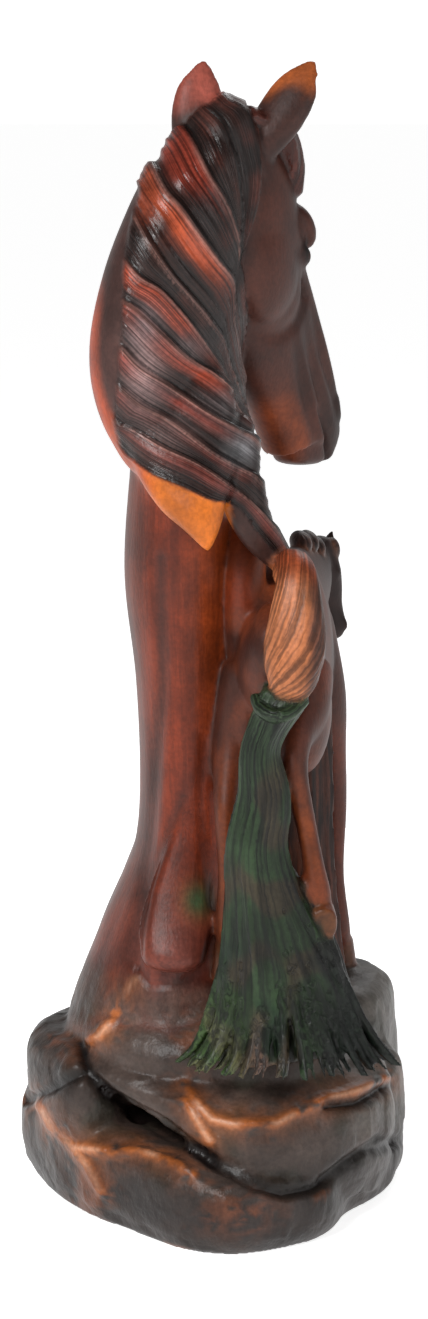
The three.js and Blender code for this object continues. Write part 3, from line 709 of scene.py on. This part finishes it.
limb(foal, [
    (3, -30, 115, 3.6, 3.6),
    (5.4, -37, 119, 4, 3.6),
    (7.4, -43.5, 115.5, 5.2, 4.6),
    (7.8, -46.5, 107, 6.8, 5.2),
    (7.6, -48, 99, 7.7, 5.4),
    (6.6, -49, 92, 6.6, 4.8),
    (5.2, -49.5, 87.5, 4.4, 3.6),
    (*tail_tip, 2.4, 2.2),
], "tail", around=130, rings=120, ripple=tail_relief, hair=22, twist=3.2)


# The grass
# A tall tuft holds the tip of the tail in its open top and spreads into blades over the rock

tuft_top = (foal.point(*tail_tip) - world.origin) / figure
tuft_foot = (19, -43, 51)
grass_blades = 17
grass_blade_width = 3.0
tuft_down = [
    (0, 0.4, 5.4), (0.09, -4, 4.6), (0.16, -5.6, 4.8), (0.28, -4.8, 6.2), (0.42, -6.8, 7.2),
    (0.56, -5.4, 9), (0.7, -3.4, 12), (0.84, -1.6, 15.5), (1, 0, 19),
]


def grass_relief(angle, t):
    return (1 + 0.08 * np.cos(5 * angle + 4 * t) + 0.09 * np.abs(np.cos(8.5 * angle + 3 * np.sin(4 * t)))
            + 0.035 * np.cos(31 * angle + 4 * np.sin(5 * t)))


limb(world, [
    (lerp(tuft_top[0], tuft_foot[0], s) + shift, lerp(tuft_top[1] + 2, tuft_foot[1], s),
     lerp(tuft_top[2] + 1.5, tuft_foot[2], s), half, half * 0.45 + 3, half * 0.35 + 3)
    for s, shift, half in tuft_down
], "grass", around=150, rings=130, caps=(0.2, 0.2), ripple=grass_relief, hair=34)

# Its open top has a thick rim round the tail's tip
limb(world, [
    (10.2, -48.6, 143.6, 1.4, 1.5),
    (11.6, -52.2, 141.4, 1.6, 1.6),
    (15.2, -54.4, 140, 1.8, 1.7),
    (19, -53.4, 140.8, 1.8, 1.7),
    (22.2, -50, 143.2, 1.8, 1.6),
], "grass", around=24, rings=40, hair=8)

for i in range(grass_blades * 5):
    u = i / (grass_blades * 5 - 1)
    turn = radians(lerp(-104, 112, u) + 6 * math.sin(5.3 * i))
    x, y = math.sin(turn), -math.cos(turn)
    reach = 1 + 0.13 * math.sin(2.9 * i) + 0.05 * math.sin(7.7 * i)
    top = 88 + 14 * math.sin(1.7 * i)
    fx, fy, _ = tuft_foot
    limb(world, [
        (fx - 5 + 4 * x, fy - 1 + 4 * y, top, 0.6, 0.6),
        (fx - 2 + 14 * x, fy + 7.4 * y, lerp(top, 54, 0.5), grass_blade_width * 0.3, 1.1),
        (fx + 20 * x * reach, fy + 11.4 * y * reach, 54, grass_blade_width * 0.25, 0.9),
        (fx + 25.4 * x * reach, fy + 14.6 * y * reach, 47.4, 0.4, 0.4),
    ], "grass", around=10, rings=20, side=(math.cos(turn), math.sin(turn), 0), hair=3)


# The skin
# The forms are blended into one closed skin

def join_forms():
    bm = bmesh.new()
    for form in forms:
        bm.from_mesh(form["mesh"])
    return set_down("mare_and_foal", new_mesh("casting", bm))


def apply_modifiers(piece):
    graph = bpy.context.evaluated_depsgraph_get()
    mesh = bpy.data.meshes.new_from_object(piece.evaluated_get(graph))
    piece.modifiers.clear()
    old = piece.data
    piece.data = mesh
    bpy.data.meshes.remove(old)


def vertex_normals(mesh):
    n = np.empty(3 * len(mesh.vertices))
    mesh.vertex_normals.foreach_get("vector", n)
    return n.reshape(-1, 3)


def neighbour_mean(mesh, values, rounds=1):
    """Each vertex's mean of its neighbours' values."""
    edges = np.empty(2 * len(mesh.edges), int)
    mesh.edges.foreach_get("vertices", edges)
    a, b = edges.reshape(-1, 2).T
    count = np.bincount(a, minlength=len(values)) + np.bincount(b, minlength=len(values))
    values = np.asarray(values, float)
    for _ in range(rounds):
        columns = values.reshape(len(values), -1).T
        total = np.stack([np.bincount(a, c[b], len(values)) + np.bincount(b, c[a], len(values))
                          for c in columns], 1)
        values = (total / np.maximum(count, 1)[:, None]).reshape(values.shape)
    return values


skin = join_forms()
blend = skin.modifiers.new("blend", "REMESH")
blend.mode = "VOXEL"
blend.voxel_size = skin_detail
blend.adaptivity = 0
apply_modifiers(skin)
mesh = skin.data

# Each vertex takes its region and its place on the strands of hair from the nearest form
form_tree = point_tree(np.concatenate([form["co"] for form in forms]))
form_region = np.concatenate([np.full(len(form["co"]), form["region"]) for form in forms])
form_strand = np.concatenate([form["strand"] for form in forms])


def region_of(nearest):
    return {name: form_region[nearest] == i for i, name in enumerate(REGIONS)}


def soft_mask(mesh, mask, rounds=2):
    return neighbour_mean(mesh, mask.astype(float), rounds)


co = coordinates(mesh)
nearest = nearest_in(form_tree, co)
inside = region_of(nearest)

# The blend is eased where the forms meet, and less where there is hair
hair_ease, plain_ease = 0.12, 0.85
ease = np.where(inside["mane"] | inside["tail"] | inside["grass"], hair_ease, plain_ease)
broad_ease = np.where(inside["neck"] | inside["column"], 0.9, 0.0)
for amount, rounds in ((broad_ease, 14), (ease, 4)):
    for _ in range(rounds):
        co = lerp(co, neighbour_mean(mesh, co), amount[:, None])
move_to(mesh, co)
normals = vertex_normals(mesh)
lift = np.zeros(len(co))

# The mane is laid on the neck, the flap and the poll
number, lock_width, along, angle, cover = lay_mane(co, normals, inside)
lift += neighbour_mean(mesh, cover) * (lock_relief(number, lock_width) + 0.35)


# The head is carved: nostrils, mouth, eyes in their lids, and the line of the jaw
def dent(x, y, z, at, reach):
    return np.exp(-sum(((v - c) / r) ** 2 for v, c, r in zip((x, y, z), at, reach)))


on_head = np.where(inside["head"])[0]
x, y, z = mare_head.local(co[on_head])
x = np.abs(x)
carve = -2.6 * dent(x, y, z, (7.6, 88.5, 5), (2.6, 3.4, 1.8))
carve += -1.2 * dent(x, y, z, (6, 92, -5.08), (9, 9, 0.7)) * (y > 80)
carve += -1.1 * bell(z + 4.6 + 0.1 * (96 - y), 0.8) * rise(y, 78, 4)
carve += -1.3 * dent(x, y, z, (12, 38, 6.6), (5, 6.4, 1)) + 0.6 * dent(x, y, z, (12, 38.5, 4), (4, 3, 1.7))
carve += -0.9 * dent(x, y, z, (12, 46, 1.5), (5, 5, 2.6))
# Folds of muscle run down from the cheek to the lips
for fx, fy, fz in ((8.4, 70, 2), (9.4, 78, -4), (9, 74, -10)):
    carve += -0.8 * dent(x, y, z, (fx, fy, fz), (5, 15, 1.5))
    carve += 0.5 * dent(x, y, z, (fx, fy, fz + 3), (5, 14, 1.6))
carve += -bell(np.hypot(y - 33, (z + 9) * 1.15) - 19, 2.4) * (y > 34) * (z < 2)
carve += -0.7 * dent(x, y, z, (9, 62, -2), (4, 14, 3.6))
lift[on_head] += carve


# Lines of the rock and of the column's foot that the photo shows: crests to raise and cracks to cut
rock_crests = [
    [(36, 1101), (52, 1127), (72, 1147), (109, 1151), (138, 1149), (169, 1159), (192, 1173)],
    [(72, 1147), (86, 1164), (101, 1193)],
    [(184, 1084), (198, 1104), (212, 1119), (232, 1124), (261, 1124), (278, 1123), (301, 1110),
     (324, 1099), (358, 1090), (386, 1079)],
    [(186, 1101), (209, 1141)],
    [(81, 1044), (98, 1036), (115, 1016), (129, 987), (138, 976)],
]
rock_cracks = [
    [(81, 1044), (89, 1073), (109, 1096), (138, 1113), (164, 1127), (192, 1147), (221, 1167),
     (258, 1184), (286, 1193), (315, 1187), (335, 1173), (358, 1156), (381, 1139)],
    [(24, 1101), (38, 1096), (64, 1081), (89, 1070)],
    [(329, 1103), (358, 1103), (386, 1086)],
    [(366, 1150), (384, 1148), (398, 1140)],
]
column_creases_seen = [
    [(160, 560), (163, 680), (156, 760), (150, 830), (141, 900), (131, 960)],
    [(183, 796), (165, 840), (147, 892), (137, 968)],
    [(205, 740), (200, 800), (206, 860), (214, 930)],
    [(214, 930), (205, 965), (180, 984), (150, 984), (137, 968)],
]


def rock_relief(p):
    broad = noise.turbulence(Vector(p) / 17, 2, False, noise_basis="PERLIN_ORIGINAL")
    facet = noise.cell(Vector(p) / 9 + Vector((broad, broad, broad)))
    fine = noise.noise(Vector(p) / 3.1)
    return 1.1 * (broad - 0.5) + 0.2 * facet + 0.12 * fine


is_rock = soft_mask(mesh, inside["rock"], 3)
for i in np.where(is_rock > 0.02)[0]:
    lift[i] += rock_relief(co[i]) * is_rock[i] * min(1, co[i][2] / 3)
column, row = seen(co)
towards = facing_camera(co, normals)
lift += is_rock * towards * (1.2 * bell(nearest_line(column, row, rock_crests), 6)
                             - 1.9 * bell(nearest_line(column, row, rock_cracks), 5.5))
is_column = soft_mask(mesh, inside["column"], 3)
for line, depth, reach in zip(column_creases_seen, (0.8, 0.6, 0.4, 0.5), (7, 5, 5, 4)):
    lift -= is_column * towards * depth * bell(line_distance(column, row, line), reach)
lift = lerp(lift, neighbour_mean(mesh, lift, 1), 0.4)
co = co + normals * lift[:, None]
co = np.clip(co, low_corner + 0.02, high_corner - 0.02)
co[co[:, 2] < 0.3, 2] = 0
move_to(mesh, co)

# How far each vertex lies in a hollow, at a fine and at a broad scale
normals = vertex_normals(mesh)
hollow_fine = ((neighbour_mean(mesh, co, 3) - co) * normals).sum(axis=1) / skin_detail
hollow_broad = ((neighbour_mean(mesh, co, 26) - co) * normals).sum(axis=1) / skin_detail
high_tree = point_tree(co)

thin = skin.modifiers.new("thin", "DECIMATE")
thin.ratio = min(1, most_triangles / sum(len(p.vertices) - 2 for p in mesh.polygons))
apply_modifiers(skin)
mesh = skin.data
co = coordinates(mesh)
normals = vertex_normals(mesh)
nearest_high = nearest_in(high_tree, co)
nearest = nearest_in(form_tree, co)
inside = region_of(nearest)
hollow = hollow_fine[nearest_high]
broad = hollow_broad[nearest_high]
number, lock_width, along, angle, in_mane = lay_mane(co, normals, inside)

# Strands: across them 1 is one strand, along them 1 is 10 mm
strand = form_strand[nearest]
on_locks = in_mane > 0.3
strand[on_locks] = np.stack([number * 11, np.zeros(len(co)), along * 0.9], 1)[on_locks]


# The paint
# Colours are laid on by region and place, as a painter stains, tints and wipes a casting

paint = np.zeros((len(co), 3))
gloss = np.full(len(co), 0.42)


def lay(tint, amount):
    amount = np.clip(amount, 0, 1)[:, None]
    paint[:] = lerp(paint, np.array(tint), amount)


def coats(area, *layers):
    """Lays tints on an area one after another, each by its own amount."""
    for tint, amount in layers:
        lay(tint, area * amount)


def rough(value, amount):
    gloss[:] = lerp(gloss, value, np.clip(amount, 0, 1))


X, Y, Z = co.T
mahogany = (0.125, 0.018, 0.005)
near_black = (0.006, 0.0035, 0.003)
orange = (0.21, 0.040, 0.006)
bright_orange = (0.47, 0.115, 0.012)
shadow_brown = (0.022, 0.010, 0.008)

mask = {name: soft_mask(mesh, inside[name], 2) for name in REGIONS}
wander = np.array([noise.turbulence(Vector(p) / 26, 3, False) for p in co])
patch = np.array([noise.noise(Vector(p) / 9) for p in co])

column, row = seen(co)
facing = -normals[:, 1]
upward = normals[:, 2]
towards = facing_camera(co, normals)


def spot(at, reach):
    """1 at a place on the photo, fading out over its reach."""
    return bell(column - at[0], reach[0]) * bell(row - at[1], reach[1]) * towards


# Column: mahogany, redder and brighter to the upper right, dark in its long grooves
coats(mask["column"],
      (mahogany, 1),
      ((0.20, 0.034, 0.006), 0.8 * rise(Z, 112, 50) * rise(X, -12, 14)),
      ((0.062, 0.013, 0.006), 0.85 * rise(X, -14, -8) + 0.5 * rise(wander, 0.55, 0.25)))
for line, reach, amount in zip(column_creases_seen, (8, 5, 4, 5), (0.75, 0.5, 0.3, 0.45)):
    lay(shadow_brown, mask["column"] * towards * amount * bell(line_distance(column, row, line), reach))
coats(mask["column"],
      ((0.11, 0.024, 0.014), 0.6 * rise(Z, 92, -24)),
      # Painted highlight: a pink sheen on the drape of the foot
      ((0.13, 0.036, 0.026), 0.8 * spot((175, 950), (30, 42))),
      ((0.03, 0.05, 0.02), 1.1 * spot((198, 900), (15, 17))),
      ((0.26, 0.045, 0.007), 0.8 * spot((105, 985), (22, 13))))

# Neck: near black, with a wiped orange edge on its left side and the orange flap below
rim = np.interp(row, (230, 285, 310, 335, 360, 385, 410, 435, 460),
                (100, 100, 98, 95, 95, 98, 106, 124, 138))
coats(mask["neck"],
      ((0.040, 0.018, 0.015), 1),
      ((0.24, 0.036, 0.010), rise(column, rim + 8, -12) * rise(row, 250, 60) * (angle < 20)),
      ((0.06, 0.013, 0.007), rise(np.abs(angle), 118, 20)))
below = mask["neck"] * (1 - in_mane) * rise(row, 405, 30) * towards * (angle < 120)
coats(below,
      ((0.30, 0.045, 0.007), 1),
      (bright_orange, rise(column, 132, 34) * rise(row, 440, 20)))
lay((0.030, 0.011, 0.008), mask["neck"] * rise(column, 228, 6) * rise(row, 470, 16))

# Mane: near black, with red patches where the locks leave the crest and pale pink and grey painted
# highlights
phase = number % 1
coats(in_mane,
      ((0.012, 0.006, 0.005), 1),
      ((0.045, 0.012, 0.008), rise(patch, -0.2, 0.5) * rise(phase, 0.75, -0.3) * 0.8))
stains = [
    # first lock and last lock of the stain, rows of the photo that it runs over, and its tint
    (2.0, 2.8, (115, 190), (0.12, 0.018, 0.010)),
    (3.0, 3.5, (165, 275), (0.20, 0.036, 0.014)),
    (3.5, 4.0, (190, 225), (0.12, 0.024, 0.011)),
    (5.0, 5.6, (245, 345), (0.20, 0.034, 0.016)),
    (6.0, 6.45, (300, 395), (0.13, 0.022, 0.011)),
    (7.05, 7.5, (350, 425), (0.10, 0.018, 0.012)),
    (8.05, 8.4, (390, 470), (0.09, 0.022, 0.016)),
    (9.0, 9.5, (440, 570), (0.08, 0.020, 0.015)),
]
for first, last, (top, bottom), tint in stains:
    across = rise(number, first - 0.05, 0.12) * rise(number, last + 0.15, -0.35)
    down = rise(row, top - 24, 34) * rise(row, bottom + 34, -60)
    lay(tint, in_mane * across * down * smooth((patch + 0.8) * 1.3))
# Painted highlights: pale grey-pink and grey patches for the sheen on the black mane, with a darker pinkish
# brown patch below them
coats(0.85 * in_mane,
      ((0.16, 0.11, 0.11), spot((146, 326), (15, 20))),
      ((0.19, 0.12, 0.115), spot((145, 384), (17, 32))),
      ((0.06, 0.035, 0.032), spot((168, 432), (30, 20))),
      ((0.10, 0.10, 0.105), spot((242, 448), (15, 16))),
      ((0.045, 0.035, 0.035), spot((222, 404), (20, 18))),
      ((0.06, 0.045, 0.045), spot((190, 345), (16, 14))))
# Thin pale lines along the upper edges of the locks: painted highlights
edge_highlight = bell(phase - 0.03, 0.05) + bell(phase - 1.03, 0.05)
highlighted_locks = (number < 9.8) * (number > 1.6)
lay((0.17, 0.085, 0.070), in_mane * edge_highlight * rise(row, 130, 40) * highlighted_locks * 0.7)
coats(mask["mane"],
      (near_black, 1),
      ((0.05, 0.012, 0.008), 0.8))

# Head and ears
hx, hy, hz = mare_head.local(co)
face = mask["head"] * (1 - in_mane)
coats(face,
      ((0.044, 0.012, 0.007), 1),
      ((0.022, 0.011, 0.009), 0.7 * rise(wander, 0.5, 0.2) + rise(hy, 60, 26) * rise(hz, -8, 6) * 0.75),
      ((0.17, 0.034, 0.008), spot((272, 440), (20, 34))),
      ((0.17, 0.034, 0.008), rise(hz, -10, -5) * rise(hy, 66, 10) * rise(hy, 100, -10) * 0.8),
      ((0.03, 0.012, 0.010), rise(hy, 88, 8) * 0.8),
      (near_black, dent(np.abs(hx), hy, hz, (12.6, 38, 4.6), (3, 3.4, 2.2)) * 1.5),
      (near_black, dent(np.abs(hx), hy, hz, (7.6, 88.5, 5), (3, 3.6, 2)) * 1.5))
ear_height = np.where(Z > 200, (Z - 279) / 21, 0) + 0.25 * patch
coats(mask["ear"],
      ((0.03, 0.011, 0.008), 1),
      ((0.34, 0.080, 0.018), rise(ear_height, 0.5, 0.4) * (X > 4)),
      ((0.22, 0.050, 0.034), rise(ear_height, 0.3, 0.4) * (X < 4)))

# Foal: dark haunches, belly and head, orange croup and legs
fx, fy, fz = foal.local(co)
coats(mask["foal"],
      ((0.045, 0.012, 0.007), 1),
      (orange, rise(fz, 104, 10) * rise(fy, -14, -10)),
      ((0.034, 0.010, 0.006), rise(fx, -4, -5) * rise(fz, 52, 26) * rise(fz, 108, -22)),
      ((0.13, 0.018, 0.004), rise(fx, -4, -3) * rise(fz, 96, 12) * 0.9),
      ((0.07, 0.016, 0.007), rise(fz, 76, -24) * (fy < 0)),
      ((0.13, 0.027, 0.005), rise(fz, 78, -30) * rise(facing, 0.45, 0.4) * (fy < 0) * 0.9),
      ((0.11, 0.022, 0.009), rise(fx, 1, 5) * rise(fz, 70, 20) * rise(fy, -20, -10) * 0.8),
      ((0.07, 0.014, 0.006), rise(fz, 70, -14) * (fy > 0)),
      ((0.020, 0.006, 0.004), rise(fy, 26, 10) * (fz > 84)),
      ((0.085, 0.018, 0.006), smooth((patch + 0.15) * 3) * (fy < 10) * 0.6))
coats(mask["hoof"],
      ((0.09, 0.022, 0.008), 1),
      ((0.09, 0.030, 0.010), rise(facing, 0.4, 0.25)))

# Tail: pale orange strands, dark between them and down their right side
coats(mask["tail"],
      ((0.235, 0.078, 0.030), 1),
      ((0.05, 0.017, 0.011), rise(X + 1.6 * patch, 22.4, 2.6) * (Y < -30) * 0.85),
      ((0.16, 0.026, 0.008), rise(Z, 170, 8) * (Y < -30) * 0.8),
      ((0.04, 0.02, 0.016), Y > -20))

# Grass: dark green, with painted shade nearly black to the right and between the legs, pale tips over the
# rock
coats(mask["grass"],
      ((0.004, 0.011, 0.004), 1),
      ((0.020, 0.032, 0.018), rise(Z, 128, 10) * 0.85),
      ((0.013, 0.024, 0.009), rise(wander, 0.52, -0.25) * 0.5),
      ((0.020, 0.011, 0.007), rise(patch, 0.05, 0.25) * rise(Z, 132, -10) * 0.7),
      # Painted shade: nearly black to the right, low down
      ((0.0035, 0.0055, 0.004), rise(X + 6 * patch, 24, 7) * rise(Z, 112, -26) * 0.9),
      ((0.05, 0.012, 0.006), rise(Y, -30, 6) * 0.85),
      ((0.10, 0.055, 0.040), rise(Z, 66, -12) * rise(X, 22, -10) * rise(patch, -0.1, 0.25) * 0.7),
      ((0.03, 0.055, 0.014), rise(Z, 72, -14) * rise(X, 12, -8) * 0.6))

# Rock: dark grey brown, with orange wiped over its crests; it is paler on top as painted light, with
# painted highlights along the crests and painted shade in its cracks and recesses
rocky = np.maximum(mask["rock"], mask["column"] * rise(Z - 4 * patch, 64.5, -3.5))
crevice_shade_black = (0.008, 0.006, 0.005)
low, high = np.percentile(-broad[inside["rock"]], (80, 97))
ridge = rise(-broad, low, high - low) * smooth((wander - 0.42) * 6) * np.where(towards > 0.5, 0.25, 0.8)
crest_near = nearest_line(column, row, rock_crests)
crack_near = nearest_line(column, row, rock_cracks)
wiped = 0.9 * bell(crest_near, 4.5) + 0.4 * bell(crest_near, 17)
streaky = patch + np.array([noise.noise(Vector((p[0] / 3, p[1] / 3, p[2] / 1.5))) for p in co])
warm = (spot((235, 1210), (40, 22)) + spot((90, 1190), (22, 26))
        + spot((190, 1040), (30, 30)) + spot((60, 1040), (20, 20)))
coats(rocky,
      ((0.050, 0.035, 0.029), 1),
      # Painted light: surfaces facing up are paler, a sheen from above
      ((0.125, 0.085, 0.064), smooth((wander - 0.25) * 3) * smooth((upward - 0.15) * 1.5) * 0.85),
      ((0.095, 0.088, 0.078), rise(X, 28, 14) * smooth((upward + 0.3) * 1.5) * 0.7),
      ((0.018, 0.020, 0.014), smooth((patch - 0.1) * 3) * 0.6),
      ((0.016, 0.012, 0.011), rise(Z, 24, -14) * 0.85),
      ((0.018, 0.014, 0.012), rise(X, -34, -8) * rise(patch, -0.5, 0.5) * 0.85),
      ((0.30, 0.080, 0.016), ridge),
      ((0.28, 0.080, 0.020), towards * wiped * smooth((streaky + 0.7) * 1.1)),
      # Painted highlight: a thin pale line along the crests
      ((0.45, 0.26, 0.17), towards * bell(crest_near, 2.5) * rise(patch, 0.05, 0.25) * 0.6),
      ((0.16, 0.045, 0.016), warm * rise(streaky, -0.1, 0.5) * 0.55),
      # Painted shade: the cracks and two deep recesses low on the right are near black
      (crevice_shade_black, towards * bell(crack_near, 7) * 0.9),
      (crevice_shade_black, (spot((290, 1190), (26, 9)) + spot((342, 1166), (18, 13))) * 0.9),
      ((0.09, 0.03, 0.018), rise(Z, 52, 10) * rise(X, 10, -16) * 0.5))

# Dark stain settles in the hollows and is laid on there as painted shade as well, and high edges of the
# animals are wiped a little brighter
lay(near_black, rise(hollow, 0.10, 0.5) * 0.6 + rise(broad, 0.5, 1.8) * 0.75)
animal = 1 - rocky - mask["grass"] - mask["mane"] - in_mane
lay((0.25, 0.05, 0.010), np.clip(animal, 0, 1) * rise(broad, -1.1, -1.6) * 0.35)

rough(0.27, in_mane + mask["mane"])
rough(0.42, mask["tail"] + mask["grass"])
rough(0.50, mask["head"] + mask["ear"] + mask["foal"])
rough(0.40, mask["rock"])


def attribute(name, kind, field, values):
    layer = mesh.attributes.new(name, kind, "POINT")
    layer.data.foreach_set(field, np.ascontiguousarray(values, dtype=np.float32).ravel())


attribute("paint", "FLOAT_COLOR", "color", np.column_stack([np.clip(paint, 0, 1), np.ones(len(co))]))
attribute("strand", "FLOAT_VECTOR", "vector", strand)
attribute("hairy", "FLOAT", "value", np.clip(
    0.75 * in_mane + 0.7 * mask["mane"] + 0.7 * mask["tail"] + mask["grass"] + 0.22 * mask["column"], 0, 1))
attribute("stone", "FLOAT", "value", rocky)
attribute("satin", "FLOAT", "value", gloss)

move_to(mesh, co * MM)
mesh.shade_smooth()

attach(skin, "root")
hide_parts(NODE)


# Material: stained, painted and varnished resin

material = bpy.data.materials.new("stained and painted resin")
material.use_nodes = True
nodes, links = material.node_tree.nodes, material.node_tree.links
shader = nodes["Principled BSDF"]
shader.inputs["Specular IOR Level"].default_value = 0.24


def read(name, output="Fac"):
    node = nodes.new("ShaderNodeAttribute")
    node.attribute_name = name
    return node.outputs[output]


def put(socket, value):
    if hasattr(value, "links"):
        links.new(value, socket)
    else:
        socket.default_value = value


def ramp(value, low, high, to_low=0.0, to_high=1.0, kind="SMOOTHSTEP"):
    node = nodes.new("ShaderNodeMapRange")
    node.interpolation_type = kind
    links.new(value, node.inputs["Value"])
    for name, number in (("From Min", low), ("From Max", high), ("To Min", to_low), ("To Max", to_high)):
        node.inputs[name].default_value = number
    return node.outputs["Result"]


def combine(operation, a, b):
    node = nodes.new("ShaderNodeMath")
    node.operation = operation
    put(node.inputs[0], a)
    put(node.inputs[1], b)
    return node.outputs["Value"]


def stretched(vector, scale):
    node = nodes.new("ShaderNodeVectorMath")
    node.operation = "MULTIPLY"
    links.new(vector, node.inputs[0])
    node.inputs[1].default_value = scale
    return node.outputs["Vector"]


def mottle(vector, scale, detail=3.0):
    node = nodes.new("ShaderNodeTexNoise")
    links.new(vector, node.inputs["Vector"])
    node.inputs["Scale"].default_value = scale
    node.inputs["Detail"].default_value = detail
    return node.outputs["Fac"]


place = nodes.new("ShaderNodeTexCoord").outputs["Object"]
strands = mottle(stretched(read("strand", "Vector"), (1.0, 1.0, 0.22)), 1.5, 3.0)
hairy = read("hairy")
stone = read("stone")
blotch = mottle(place, 70, 4.0)
speck = mottle(place, 900, 2.0)
coat_grain = mottle(stretched(place, (1.0, 1.0, 0.35)), 1300, 2.0)

# Hand staining is uneven: broad blotches and fine specks. Along the hair the colour is darker between
# strands and lighter on them, as stain and as painted shade and highlight
base = read("paint", "Color")
darker = nodes.new("ShaderNodeMix")
darker.data_type = "RGBA"
darker.blend_type = "MULTIPLY"
put(darker.inputs[0], 1.0)
put(darker.inputs[6], base)
tone = combine("MULTIPLY", ramp(blotch, 0.3, 0.7, 0.62, 1.4), ramp(speck, 0.3, 0.7, 0.86, 1.14))
strand_stain_and_shade = ramp(strands, 0.36, 0.62, 0.25, 1.6)
hair_stain_and_shade = combine("ADD", combine("MULTIPLY", combine("SUBTRACT", strand_stain_and_shade, 1.0), hairy), 1.0)
grey = nodes.new("ShaderNodeCombineColor")
shade = combine("MULTIPLY", tone, hair_stain_and_shade)
for channel in ("Red", "Green", "Blue"):
    links.new(shade, grey.inputs[channel])
put(darker.inputs[7], grey.outputs["Color"])
links.new(darker.outputs[2], shader.inputs["Base Color"])
links.new(read("satin"), shader.inputs["Roughness"])

height = combine("MULTIPLY", strands, combine("MULTIPLY", hairy, 0.7))
grain = combine("MULTIPLY", mottle(place, 260, 4.0), combine("MULTIPLY", stone, 0.9))
height = combine("ADD", height, grain)
height = combine("ADD", height, combine("MULTIPLY", coat_grain, 0.16))
bump = nodes.new("ShaderNodeBump")
bump.inputs["Distance"].default_value = 0.0007
bump.inputs["Strength"].default_value = 0.7
links.new(height, bump.inputs["Height"])
links.new(bump.outputs["Normal"], shader.inputs["Normal"])
skin.data.materials.append(material)


# Floor, light and camera

def floor():
    bm = bmesh.new()
    bmesh.ops.create_grid(bm, x_segments=1, y_segments=1, size=40)
    piece = set_down("floor", new_mesh("floor", bm))
    paper = bpy.data.materials.new("pale paper")
    paper.use_nodes = True
    paper_shader = paper.node_tree.nodes["Principled BSDF"]
    paper_shader.inputs["Base Color"].default_value = (0.92, 0.92, 0.92, 1)
    paper_shader.inputs["Roughness"].default_value = 1.0
    paper_shader.inputs["Specular IOR Level"].default_value = 0.0
    paper_shader.inputs["Emission Color"].default_value = (1, 1, 1, 1)
    paper_shader.inputs["Emission Strength"].default_value = 0.78
    piece.data.materials.append(paper)


floor()
bpy.context.scene.view_settings.view_transform = "Standard"

sky = bpy.data.worlds.new("studio")
sky.use_nodes = True
nodes, links = sky.node_tree.nodes, sky.node_tree.links
nodes["Background"].inputs["Color"].default_value = (1, 1, 1, 1)
bpy.context.scene.world = sky
# The room is white all round near the floor, like a paper backdrop, and dims overhead. Seen past
# the figure the backdrop is fully white; what it sheds on the figure is softer
split = nodes.new("ShaderNodeSeparateXYZ")
links.new(nodes.new("ShaderNodeTexCoord").outputs["Generated"], split.inputs["Vector"])
glow = ramp(split.outputs["Z"], 0.14, 0.42, 1.0, 0.3, "LINEAR")
backdrop = ramp(nodes.new("ShaderNodeLightPath").outputs["Is Camera Ray"], 0, 1, 0.62, 1.15, "LINEAR")
links.new(combine("MULTIPLY", glow, backdrop), nodes["Background"].inputs["Strength"])


def softbox(name, place, target, size, watts):
    lamp = bpy.data.lights.new(name, "AREA")
    lamp.shape = "RECTANGLE"
    lamp.size, lamp.size_y = size
    lamp.energy = watts
    holder = set_down(name, lamp)
    holder.location = place
    holder.rotation_euler = (Vector(target) - Vector(place)).to_track_quat("-Z", "Y").to_euler()


middle = (0, 0, 0.15)
softbox("key light", (-0.45, -0.8, 0.75), middle, (0.3, 0.3), 10.5)
softbox("fill light", (0.8, -0.6, 0.4), middle, (0.4, 0.6), 1.8)
softbox("rim light", (0.3, 0.8, 0.8), middle, (0.5, 0.5), 2.4)

# The camera stands where the photo was taken from, looking down a little
lens = bpy.data.cameras.new("camera")
lens.sensor_fit = "VERTICAL"
lens.sensor_height = 36
lens.lens = 36 * focal_pixels / photo_height
camera = set_down("camera", lens)
camera.location = (0, -camera_distance * MM, camera_height * MM)
camera.rotation_euler = (math.radians(90 - camera_pitch), 0, 0)
bpy.context.scene.camera = camera

bpy.context.view_layer.update()
